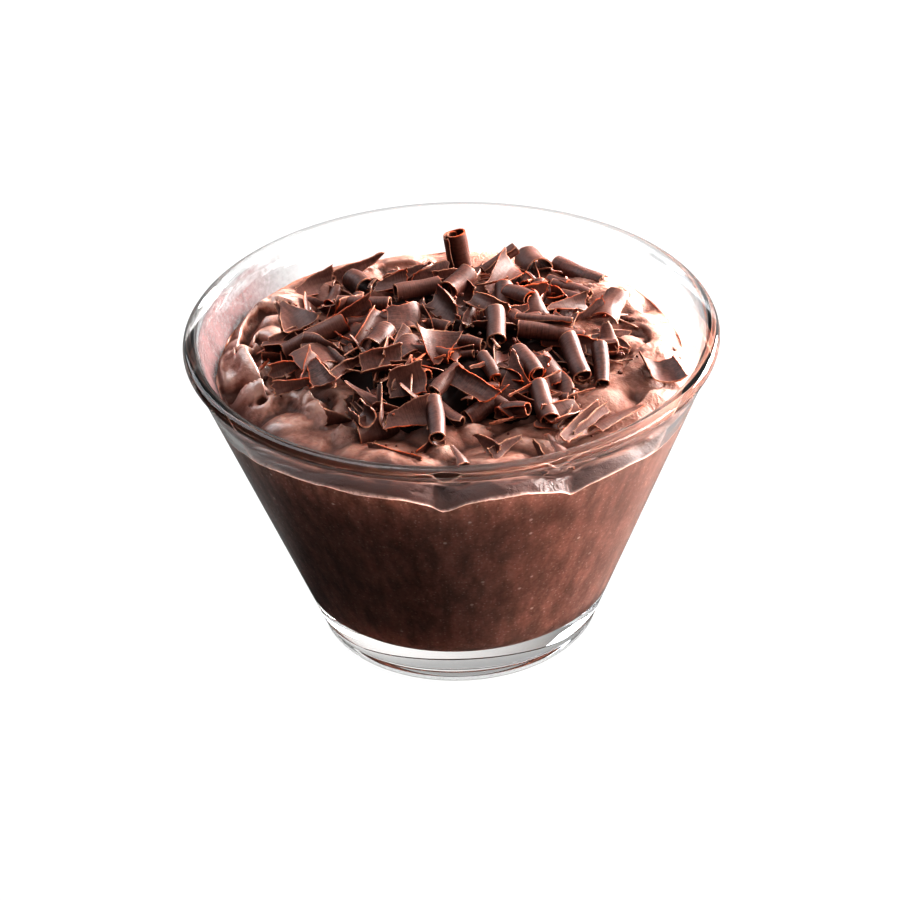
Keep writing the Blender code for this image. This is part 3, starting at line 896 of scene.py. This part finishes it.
def joinBodies(name, bodies, material, replaces=(), sharpAngle=40.0):
    # one mesh of many small bodies
    points, faces, attributes, start = [], [], {"rim": [], "sheet": [], "tone": []}, 0
    for body in bodies:
        points.append(body["points"])
        faces += [tuple(start + corner for corner in face) for face in body["faces"]]
        for key, values in attributes.items():
            values.append(body[key])
        start += len(body["points"])
    attributes = {key: np.concatenate(values) for key, values in attributes.items()}
    mesh = makeMesh(name, np.vstack(points), faces, attributes, sharpAngle)
    addObject(name, mesh, material, replaces)


# heap

heap = {
    "radius": 37.5, "coreShare": 0.84, "coreRise": 3.6,
    "coreSegments": 150, "coreRings": 52, "coreRidges": 420,
    "coreDepth": 1.4,        # how far its underside lies below the mousse's surface
    "crest": 69.5, "foot": 62.5, "reach": 41.0,     # the dome that the curls lie on
    "fillerTubes": 46, "fillerFlakes": 130, "splinters": 80, "crumbs": 120,
    "crumbReach": 47.5,      # no crumb lies farther from the axis
    "seed": 23,
}
outlineWaves = ((1, 1.8, 115), (5, 0.8, 10), (9, 0.9, 140))
outlineBays = ((-150, 11.0, 15), (-80, 8.0, 14), (-27, 8.0, 10))


def heapOutline(angle):
    # how far the heap reaches from the axis at a bearing
    waves = sum(size * np.cos(count * angle - radians(turn)) for count, size, turn in outlineWaves)
    bays = 0.0
    for bearing, depth, halfWidth in outlineBays:
        away = (angle - radians(bearing) + pi) % tau - pi
        bays = bays + depth * np.exp(-((away / radians(halfWidth)) ** 2))
    return heap["radius"] + waves - bays


def heapDome(x, y):
    away = (x * x + (y - 2.0) ** 2) / heap["reach"] ** 2
    return heap["foot"] + (heap["crest"] - heap["foot"]) * np.maximum(0.0, 1.0 - away)


def buildCore(material):
    # a mound under the curls, in chocolate painted dark as shade, with their shapes in relief
    rng = np.random.default_rng(heap["seed"])
    segments, rings = heap["coreSegments"], heap["coreRings"]
    angles = tau * np.arange(segments) / segments
    outline = heapOutline(angles) * heap["coreShare"]
    ridges = [(rng.uniform(0, tau), rng.uniform(0, 1) ** 0.5, rng.uniform(0, pi),
               rng.uniform(2.0, 4.5), rng.uniform(0.9, 1.7), rng.uniform(0.6, 1.6))
              for _ in range(heap["coreRidges"])]
    points = []
    for ring in range(1, rings + 1):
        share = ring / rings
        x, y = outline * share * np.cos(angles), outline * share * np.sin(angles)
        relief = np.zeros(segments)
        for bearing, distance, heading, halfLength, halfWidth, height in ridges:
            reach = heap["radius"] * heap["coreShare"] * distance
            dx, dy = x - reach * cos(bearing), y - reach * sin(bearing)
            a = (dx * cos(heading) + dy * sin(heading)) / halfLength
            b = (dy * cos(heading) - dx * sin(heading)) / halfWidth
            relief = np.maximum(relief, height * np.sqrt(np.clip(1.0 - a ** 6 - b * b, 0.0, 1.0)))
        base = mousseBase(x, y)
        rise = heap["coreRise"] * (1.0 - share ** 2.5) + relief * (1.0 - share ** 6) - 0.9 * share ** 6
        points.append(ringPoints(x, y, base + rise))
    for share in (0.7, 0.35):
        x, y = outline * share * np.cos(angles), outline * share * np.sin(angles)
        points.append(ringPoints(x, y, mousseBase(x, y) - heap["coreDepth"]))
    faces = ringFaces(len(points), segments)
    count = len(points) * segments
    faces += capFaces(count, count + 1, 0, count - segments, segments)
    centre = mousseBase(np.zeros(1), np.zeros(1))[0]
    middle = [[0, 0, centre + heap["coreRise"] + 0.6], [0, 0, centre - heap["coreDepth"]]]
    points = np.vstack(points + [middle])
    total = len(points)
    attributes = {"rim": np.zeros(total), "tone": np.full(total, 0.2), "sheet": points}
    mesh = makeMesh("heapCore", points, faces, attributes, sharpAngle=60.0)
    addObject("heapCore", mesh, material, ("curl_heap",))


# Tubes seen on top: x, y, z of the middle, heading, tilt, spin, length, width, roll radius,
# near end, far end, bend, flare, slant
tubes = (
    (11.2, 33.7, 66.8, 27, 22, 40, 9, 9, 1.15, 1, 0.9),
    (14.9, 15.5, 68.3, -47, 6, 70, 7, 12, 1.5, 1, 1),
    (2.0, 20.9, 69.0, 55, 6, 200, 7.5, 17, 2.1, 1, 0.9),
    (9.5, 0.6, 69.6, -89, -12, 150, 9, 15, 1.8, 0.8, 1),
    (19.6, 3.2, 68.9, -14, -1, 110, 12, 6, 1.1, 1, 0.8),
    (20.7, 0.3, 67.7, -7, -8, 150, 13.5, 11, 1.45, 1, 0.7),
    (25.5, -8.7, 66.8, -75, -18, 200, 11, 16, 1.9, 1, 0.95),
    (30.9, -8.7, 65.0, -90, -18, 180, 10.5, 11, 1.5, 1, 1),
    (7.7, -12.8, 67.8, -72, -8, 210, 8, 11, 1.3, 1, 1),
    (15.6, -11.9, 68.2, -68, -6, 120, 9, 14, 1.6, 0.8, 1),
    (18.3, -23.7, 65.4, -78, -11, 170, 10.5, 14, 1.8, 1, 0.9),
    (12.5, -26.0, 65.6, -31, 16, 60, 6, 9, 1.2, 1, 0.8),
    (-3.6, -29.2, 65.9, -87, -12, 190, 11, 13, 1.65, 1, 1),
    (-18.4, 14.9, 67.9, -17, 6, 150, 12, 12, 1.4, 1, 0.8),
    (-6.9, 20.7, 67.8, 18, 0, 200, 10, 13, 1.7, 1, 0.7),
    (-28.8, 3.9, 66.5, 17, 18, 160, 14.5, 13, 1.7, 0.7, 1),
    (-1.5, -18.1, 68.3, 55, 8, 140, 9, 9, 1.2, 1, 1),
    (-19.8, 29.6, 64.7, -59, 3, 180, 6, 13, 2.1, 1, 1),
    (26.3, 22.6, 65.4, -27, -4, 100, 9, 8, 1.1, 1, 0.7),
    (24.0, 25.0, 65.6, -50, 10, 60, 6, 7, 0.9, 1, 0.8),
    (-15.0, -1.5, 68.4, 61, 3, 120, 7, 11, 2.3, 1, 1),
)

# Flakes seen on top, in the same order, then how tightly one side is hooked (minus for the other
# side), twist along the length and how far the middle is broader than the ends. A row may end
# early: what is left out is nought.
flakes = (
    (11.0, 25.0, 67.4, 58, 6, 28, 11, 8, 5.0, 0.25, 1, 0.0, 0.2, 1.5, -0.3, 20),
    (8.2, 9.0, 70.0, -30, 2, 35, 9.5, 5, 3.2, 1, 0.5, -0.01, 0.2, 0.0, 0.4, 70),
    (18.0, 12.0, 68.4, -86, -34, 180, 6.5, 7.5, 2.6, 0.12, 1, 0.0, 1.0),
    (25.0, 12.4, 67.4, 24, -6, 30, 9, 5, 4.0, 0.3, 0.9, 0.0, 0.0, 1.5, 0.5, 30),
    (29.5, 9.6, 67.0, 28, 14, 62, 8, 4, 3.5, 0.2, 1, 0.0, 0.0, 0.0, 0.3),
    (33.0, 1.4, 65.4, -84, -38, 176, 7, 8, 2.8, 0.12, 1, 0.0, 1.0),
    (12.8, -15.8, 67.8, -84, -38, 14, 10, 9.5, 5.0, 0.10, 1, 0.012, 0.3, 0.0, 0.0, -15, -0.12),
    (20.6, -13.0, 67.4, -62, -22, 172, 8, 8, 3.0, 0.4, 0.6, 0.0, 0.0, 0.0, 0.0, 0, 0.4),
    (3.8, -20.4, 67.8, -42, -10, 26, 11, 6.5, 4.5, 0.8, 0.7, 0.01, 0.0, 1.5, 0.6, -20),
    (-9.4, -28.4, 66.2, 16, 6, 36, 9, 7, 6.0, 0.5, 1, 0.0, 0.0, 2.0, -0.4, 15),
    (-18.0, -27.6, 65.2, -62, 4, 20, 5, 8.5, 1.9, 1, 1),
    (-14.6, -24.6, 66.4, -84, -30, 82, 10.5, 3.2, 2.2, 0.5, 1, -0.02, 0.0, 0.0, 0.5, 60),
    (-18.0, -20.0, 67.2, -34, -14, 150, 9, 5.5, 2.2, 0.4, 1, 0.0, 0.3, 0.0, 0.0, 40),
    (-3.2, -7.6, 69.6, -92, -28, -20, 8.0, 11.5, 8.0, 1, 0.10, 0.0, 0.0, 0.0, -0.25),
    (-8.8, 3.4, 69.6, -86, -27, 163, 9.5, 10, 12.0, 0.9, 1, 0.0, 0.0, 2.0, -1.1),
    (-9.4, -4.6, 69.2, -74, -4, 184, 6.5, 13.5, 3.9, 0.9, 1, 0.0, 0.0, 1.0),
    (-21.8, 9.8, 67.8, 30, 15, 68, 12, 6, 4.0, 0.2, 1, 0.0, 0.0, 1.0, -0.4, 15),
    (-27.0, -3.6, 67.0, -72, -2, 170, 7.5, 13, 11.0, 1, 0.9, 0.0, 0.0, 1.5, -0.55),
    (-29.4, -9.6, 66.6, 74, 22, 33, 8, 5, 4.0, 0.5, 1, 0.0, 0.0, 1.5, 0.5, 15),
    (-19.5, 35.4, 65.4, 33, 14, 66, 12.5, 5, 4.5, 1, 0.15, 0.0, 0.0, 0.0, -0.4, 30),
    (-0.6, 10.0, 69.8, -58, 4, 62, 9, 8, 3.6, 0.8, 0.6, 0.02, 0.0, 0.0, 0.4, 40, 0.25),
    (-14.5, -11.5, 68.0, 14, 0, 8, 9, 9.5, 3.4, 0.8, 1, 0.0, 0.0, 1.5, 0.3),
    (-10.2, -15.0, 68.2, 64, 30, 60, 8.5, 3, 2.6, 1, 0.3, 0.02, 0.0, 0.0, 0.0, 50),
    (-9.4, -16.9, 67.4, 12, 6, 44, 7.5, 8, 5.0, 0.8, 1, 0.01, 0.0, 1.0, 0.3),
    (25.5, -29.7, 64.2, 53, 5, 50, 13, 3.8, 2.6, 0.7, 1, 0.0, 0.0, 0.0, 0.6, 20),
    (27.6, -28.8, 64.2, 50, 4, 66, 11, 2.4, 2.6, 0.7, 1),
    (22.0, -27.4, 64.8, 38, 0, 2, 8, 8, 3.0, 1, 0.6, 0.0, 0.0, 1.0, 0.4),
    (0.9, -38.7, 63.4, -61, -14, 150, 5.5, 4.4, 1.5, 0.25, 1, 0.0, 0.8),
    (6.4, -35.4, 63.6, -46, -10, 60, 7, 4.5, 2.5, 0.15, 1, 0.0, 0.0, 0.0, 0.4),
    (10.1, -36.0, 63.2, 40, 8, 55, 8, 4.0, 3.0, 0.9, 0.2, 0.0, 0.0, 0.0, 0.0, 20),
    (20.4, -35.6, 63.2, -53, -12, 152, 6, 5, 1.6, 0.25, 1, 0.0, 0.8),
    (16.6, -36.8, 62.8, -70, -14, 70, 5, 2.6, 2.5, 0.3, 1),
    (-35.0, 13.2, 65.4, -58, -30, 22, 9.5, 8, 3.0, 0.10, 1, 0.0, 0.4, 0.0, 0.3, 0, -0.1),
    (27.5, -3.5, 66.6, -30, 4, 50, 6, 4.5, 3.0, 1, 0.8, 0.0, 0.0, 0.0, 0.4),
    (12.0, 7.5, 68.6, 20, 6, 65, 10, 5, 4.0, 1, 0.3, 0.0, 0.0, 0.0, 0.4, 20),
    (17.4, 17.8, 67.6, 10, 8, 66, 7, 5, 3.5, 0.9, 0.5, 0.0, 0.0, 1.5),
    (-32.0, -13.0, 65.2, 8, 4, 66, 10, 4, 4.0, 0.9, 0.3, 0.0, 0.0, 0.0, 0.5, 30),
    (-33.5, -6.4, 65.6, 14, 8, 54, 9, 4, 3.0, 0.9, 0.3, 0.0, 0.0, 0.0, 0.5),
    (1.0, 27.5, 67.0, 12, 8, 60, 9, 5, 4.0, 0.9, 0.3, 0.0, 0.0, 0.0, 0.4, 20),
    (-9.5, 30.4, 66.0, 24, 12, 40, 10, 5, 3.0, 0.7, 0.2, 0.0, 0.0, 0.0, 0.4),
    (-12.6, 24.8, 66.8, 0, 8, 26, 7, 6, 3.2, 0.4, 1, 0.0, 0.0, 1.0, 0.3),
    (-4.0, 27.5, 67.0, 28, 6, 44, 9, 5, 3.6, 0.7, 0.9, 0.0, 0.0, 1.0, 0.3),
    (-14.0, 10.0, 68.4, -24, 0, 150, 6, 7, 1.6, 0.9, 0.6, 0.0, 0.3),
    (-27.6, -11.5, 67.0, -68, -12, 22, 8.5, 6, 3.4, 0.35, 1, 0.0, 0.3, 1.0, 0.3),
    (-21.5, -10.0, 67.6, 40, 10, 62, 9, 3.2, 2.4, 0.9, 0.5, 0.02, 0.0, 0.0, 0.7, 70),
    (-35.5, 6.5, 65.8, 34, 8, 60, 7, 2.6, 2.6, 0.8, 0.4, 0.0, 0.0, 0.0, 0.4, 20),
)

# Splinters seen on top: x, y, z, heading, tilt, length, width
longSplinters = (
    (-8.4, -17.4, 68.2, -90, -14, 13.5, 1.1), (-14.5, -11.0, 68.4, 73, 10, 12, 1.3),
    (16.5, -19.5, 67.6, 35, 4, 13, 0.9), (22.5, -28.5, 65.0, 60, 12, 7, 1.1),
    (26.0, -20.5, 65.6, 20, 6, 6, 1.0), (-27.5, 8.5, 67.2, 25, 12, 8, 1.0),
)


def insideHeap(rng, reach=0.97):
    # an even spread of places within the heap's outline
    angle = rng.uniform(0.0, tau)
    distance = heapOutline(angle) * reach * rng.random() ** 0.5
    return distance * cos(angle), distance * sin(angle)


def buildTubes(material):
    rng = np.random.default_rng(heap["seed"] + 1)
    bodies = []
    for row in tubes:
        body = rolledSheet(row[6:], rng, 16, 34)
        bodies.append(turned(body, row[:6], centred=row[8]))
    for _ in range(heap["fillerTubes"]):
        x, y = insideHeap(rng)
        radius = rng.uniform(1.1, 2.0)
        form = (rng.uniform(5.0, 11.0), radius * tau * rng.uniform(0.8, 1.35), radius, 1.0,
                rng.uniform(0.7, 1.0))
        z = heapDome(x, y) - rng.uniform(0.8, 3.0)
        place = (x, y, z, rng.uniform(0, 360), rng.uniform(-18, 18), rng.uniform(0, 360))
        bodies.append(turned(rolledSheet(form, rng, 10, 22), place, centred=radius))
    joinBodies("curlTubes", bodies, material, ("curl_heap",))


def buildFlakes(material):
    rng = np.random.default_rng(heap["seed"] + 2)
    bodies = []
    for row in flakes:
        bodies.append(turned(rolledSheet(row[6:], rng, 20, 26, 1.4), row[:6]))
    for _ in range(heap["fillerFlakes"]):
        x, y = insideHeap(rng)
        pointed = sorted(rng.uniform(0.12, 1.0, 2), key=lambda _: rng.random())
        form = (rng.uniform(5.0, 10.5), rng.uniform(4.0, 9.0), rng.uniform(1.8, 5.0), *pointed,
                rng.uniform(-0.01, 0.02), rng.uniform(-0.4, 0.4), rng.uniform(-2.0, 2.0),
                rng.uniform(-0.8, 0.8), rng.uniform(-60, 60), rng.uniform(-0.1, 0.3))
        z = heapDome(x, y) - rng.uniform(0.6, 2.8)
        place = (x, y, z, rng.uniform(0, 360), rng.uniform(-22, 22),
                 rng.choice([0, 180]) + rng.uniform(-75, 75))
        bodies.append(turned(rolledSheet(form, rng, 10, 14, 1.4), place))
    joinBodies("curlFlakes", bodies, material, ("curl_heap",))


def buildSplinters(material):
    rng = np.random.default_rng(heap["seed"] + 3)
    bodies = []
    for x, y, z, heading, tilt, length, width in longSplinters:
        form = (length, width, 3.0, 0.7, 0.3, rng.uniform(-0.01, 0.01))
        bodies.append(turned(rolledSheet(form, rng, 12, 5), (x, y, z, heading, tilt, 75)))
    for _ in range(heap["splinters"]):
        x, y = insideHeap(rng, 1.06)
        form = (rng.uniform(2.0, 6.0), rng.uniform(0.5, 1.4), rng.uniform(1.0, 3.0),
                rng.uniform(0.3, 1.0), rng.uniform(0.2, 0.8), rng.uniform(-0.02, 0.02))
        floorZ = max(topAt(x, y), float(heapDome(x, y)) - 0.6)
        place = (x, y, floorZ + rng.uniform(0.1, 1.3), rng.uniform(0, 360), rng.uniform(-25, 25),
                 rng.uniform(0, 360))
        bodies.append(turned(rolledSheet(form, rng, 7, 4), place))
    joinBodies("splinters", bodies, material, ("curl_heap",))


def crumb(rng, size):
    # a small broken lump: a squashed, uneven ball
    rows, steps = 4, 7
    stretch = rng.uniform(0.6, 1.3, 3) * size / 2
    points = [[0.0, 0.0, 1.0]]
    for row in range(1, rows):
        polar = pi * row / rows
        points += [[sin(polar) * cos(tau * k / steps), sin(polar) * sin(tau * k / steps), cos(polar)]
                   for k in range(steps)]
    points.append([0.0, 0.0, -1.0])
    points = np.array(points) * stretch * rng.uniform(0.72, 1.18, (len(points), 1))
    faces = ringFaces(rows - 1, steps, first=1)
    total = len(points)
    faces += capFaces(0, total - 1, 1, total - 1 - steps, steps)
    return {"points": points, "faces": faces, "rim": np.full(total, rng.uniform(0.0, 0.7)),
            "sheet": points + rng.uniform(0, 50), "tone": np.full(total, rng.random())}


def buildCrumbs(material):
    rng = np.random.default_rng(heap["seed"] + 4)
    bodies = []
    for index in range(heap["crumbs"]):
        angle = rng.uniform(0.0, tau)
        outline = heapOutline(angle)
        if index % 3:
            distance = outline * rng.uniform(0.1, 1.0)
        else:
            distance = min(outline + rng.exponential(1.2), heap["crumbReach"])
        x, y = distance * cos(angle), distance * sin(angle)
        size = rng.uniform(0.4, 1.2)
        ground = topAt(x, y)
        if index % 3:
            ground = max(ground, float(heapDome(x, y)) - rng.uniform(0.0, 1.0))
        body = crumb(rng, size)
        place = (x, y, ground + size * 0.25, rng.uniform(0, 360), rng.uniform(0, 90), rng.uniform(0, 360))
        bodies.append(turned(body, place))
    joinBodies("crumbs", bodies, material, sharpAngle=35.0)


# Shavings that lie apart from the heap or stand out of it: x, y, heading, tilt, spin,
# length, width, roll radius, near end, far end, bend, flare, slant, hook, twist, belly
ownShavings = {
    "upright_curl": (4.3, 33.4, 172, 80, 200, 9.0, 19.0, 2.15, 1.0, 1.0),
    "quill_curl": (28.8, 33.5, -45, 0, 180, 13.5, 10.5, 1.9, 1.0, 0.3),
    "broad_curl": (19.6, 38.6, -72, 8, 160, 8.5, 12.5, 2.9, 1.0, 0.75),
    "arched_flake": (34.0, 13.0, 66, 4, 180, 10.0, 9.5, 3.6, 0.9, 0.55),
    "right_flake": (43.0, -9.3, -74, -4, -8, 8.0, 10.6, 4.6, 0.85, 0.9, 0.02, 0.2, 2.0, -0.3),
    "left_flake": (-33.6, 12.6, -60, -9, 14, 10.2, 10.0, 6.0, 0.12, 1.0, 0.012),
    "back_left_flake": (-29.5, 31.5, 30, 4, 40, 9.5, 6.5, 5.0, 0.45, 0.95, 0.0, 0.0, 1.5, -0.3, 15),
    "front_strip": (-12.2, -37.0, -24, 0, 62, 12.0, 3.4, 5.0, 0.9, 0.6, 0.0, 0.0, 0.0, 0.0, 12),
    "right_dark_flake": (33.0, -25.5, 34, 2, 150, 12.5, 7.5, 4.0, 0.9, 0.4, 0.0, 0.0, 0.0, 0.3),
}


def camelName(name):
    first, *rest = name.split("_")
    return first + "".join(word.capitalize() for word in rest)


def buildOwnShavings(material):
    rng = np.random.default_rng(heap["seed"] + 5)
    for node, (x, y, heading, tilt, spin, *form) in ownShavings.items():
        body = turned(rolledSheet(form, rng, 26, 40), (x, y, 0.0, heading, tilt, spin))
        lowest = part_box(node)[0].z / mm
        body["points"][:, 2] += lowest - body["points"][:, 2].min()
        joinBodies(camelName(node), [body], material, (node,))


print("heap of curls")
buildCore(makeChocolateInShade())
for buildPieces in (buildTubes, buildFlakes, buildSplinters, buildCrumbs):
    buildPieces(chocolate)
print("separate shavings")
buildOwnShavings(chocolate)


# floor, light and camera

studio = {
    "floorSize": 6.0,        # metres
    "floorSeen": 0.68,       # how much the floor glows to the eye, so that it reads as pale paper
    "shadeSeen": 0.02,       # how much shade it still shows then
    "floorShade": 0.06,      # how bright it is to everything else
    "glassGlow": 0.25,       # how much of that glow shows in the reflections inside the glass
    "fillDim": 0.03,         # the room's light from the left and in front of the cup
    "fillBright": 1.05,      # and from the right and behind it
}

# Soft lights: watts, bearing, height in degrees, distance, width and length in metres, colour.
# A bearing turns from straight behind the cup towards the right.
lights = {
    "keyLight": (35.0, 50.0, 20.0, 0.9, 0.34, 0.34, (1.0, 0.985, 0.965)),
    "sideLight": (5.2, 99.0, 14.0, 0.8, 0.4, 0.4, (1.0, 0.985, 0.97)),
    "edgeLight": (7.0, -54.0, 47.0, 0.8, 0.5, 1.0, (0.90, 0.95, 1.0)),
    "topLight": (2.0, 0.0, 90.0, 0.9, 0.8, 0.8, (1.0, 1.0, 1.0)),
}


def straightPath(tree):
    # 1 while a ray has met nothing but clear glass, and a share of it after reflections inside the glass
    path = addNode(tree, "ShaderNodeLightPath")
    noDiffuse = mathNode(tree, "LESS_THAN", path.outputs["Diffuse Depth"], 0.5)
    noGloss = mathNode(tree, "LESS_THAN", path.outputs["Glossy Depth"], 0.5)
    inGlass = mathNode(tree, "GREATER_THAN", path.outputs["Transmission Depth"], 0.5)
    inGlass = product(tree, inGlass, studio["glassGlow"])
    return product(tree, noDiffuse, mathNode(tree, "MAXIMUM", noGloss, inGlass))


def buildFloor():
    made, tree = newMaterial("pale floor")
    place = objectPlace(tree)
    paper = useGroup(tree, mottle, Vector=place, Scale=9.0, Light=(0.80, 0.79, 0.78, 1),
                     Dark=(0.76, 0.755, 0.75, 1), Fine=0.3)
    shade = mixColor(tree, 1.0, paper["Color"], (studio["floorShade"],) * 3, "MULTIPLY")
    shadeSeen = mixColor(tree, 1.0, paper["Color"], (studio["shadeSeen"],) * 3, "MULTIPLY")
    dull = addNode(tree, "ShaderNodeBsdfPrincipled", None, Base_Color=shade, Roughness=0.9)
    seen = addNode(tree, "ShaderNodeBsdfPrincipled", None, Base_Color=shadeSeen, Roughness=0.9,
                   Emission_Color=(1.0, 1.0, 1.0, 1.0), Emission_Strength=studio["floorSeen"])
    blend = addNode(tree, "ShaderNodeMixShader", None, i0=straightPath(tree), i1=dull.outputs[0],
                    i2=seen.outputs[0])
    closeMaterial(tree, blend)
    half = studio["floorSize"] / 2
    mesh = bpy.data.meshes.new("floor")
    corners = [(-half, -half, 0), (half, -half, 0), (half, half, 0), (-half, half, 0)]
    mesh.from_pydata(corners, [], [(0, 1, 2, 3)])
    mesh.materials.append(made)
    floor = bpy.data.objects.new("floor", mesh)
    bpy.context.scene.collection.objects.link(floor)


def buildWorld():
    world = bpy.data.worlds.new("studio")
    bpy.context.scene.world = world
    world.use_nodes = True
    tree = world.node_tree
    tree.nodes.clear()
    toward = addNode(tree, "ShaderNodeVectorMath", {"operation": "DOT_PRODUCT"},
                     i0=addNode(tree, "ShaderNodeTexCoord").outputs["Generated"], i1=(0.88, 0.42, 0.22))
    room = rangeOf(tree, toward.outputs["Value"], -0.42, 0.95, studio["fillDim"], studio["fillBright"])
    back = addNode(tree, "ShaderNodeBackground", None, Color=(1.0, 0.985, 0.97, 1.0), Strength=room)
    addNode(tree, "ShaderNodeOutputWorld", None, Surface=back.outputs[0])


def addSoftLight(name, power, bearing, height, distance, width, length, color):
    light = bpy.data.lights.new(name, "AREA")
    light.shape = "RECTANGLE"
    light.size = width
    light.size_y = length
    light.energy = power
    light.color = color
    a, e = radians(bearing), radians(height)
    aim = Vector((0, 0, 0.05))
    place = Vector((sin(a) * cos(e), cos(a) * cos(e), sin(e))) * distance + aim
    lamp = bpy.data.objects.new(name, light)
    lamp.location = place
    lamp.rotation_euler = (aim - place).to_track_quat("-Z", "Y").to_euler()
    bpy.context.scene.collection.objects.link(lamp)
    return lamp


camera = {
    "distance": 600.0, "elevation": 30.34, "aim": 69.43,   # aimed near the middle of the rim
    "pan": 0.1, "tilt": -2.4, "roll": 1.98, "lens": 114.86,
}


def buildCamera():
    elevation = radians(camera["elevation"])
    away = Vector((0.0, -cos(elevation), sin(elevation)))
    forward, right = -away, Vector((1.0, 0.0, 0.0))
    above = right.cross(forward)
    for axis, angle in (("above", "pan"), ("right", "tilt"), ("forward", "roll")):
        axes = {"above": above, "right": right, "forward": forward}
        turn = Quaternion(axes[axis], radians(camera[angle]))
        forward, right, above = turn @ forward, turn @ right, turn @ above
    data = bpy.data.cameras.new("camera")
    data.lens = camera["lens"]
    data.sensor_width = 36.0
    data.clip_start = 0.02
    data.clip_end = 20.0
    made = bpy.data.objects.new("camera", data)
    basis = Matrix((right, above, -forward)).transposed().to_4x4()
    place = away * camera["distance"] * mm + up * camera["aim"] * mm
    made.matrix_world = Matrix.Translation(place) @ basis
    bpy.context.scene.collection.objects.link(made)
    bpy.context.scene.camera = made


print("studio")
buildFloor()
buildWorld()
lamps = {name: addSoftLight(name, *values) for name, values in lights.items()}
lamps["edgeLight"].visible_diffuse = False      # a tall panel that only shows in reflections
buildCamera()
bpy.context.scene.view_settings.view_transform = "Standard"
bpy.context.scene.view_settings.look = "High Contrast"
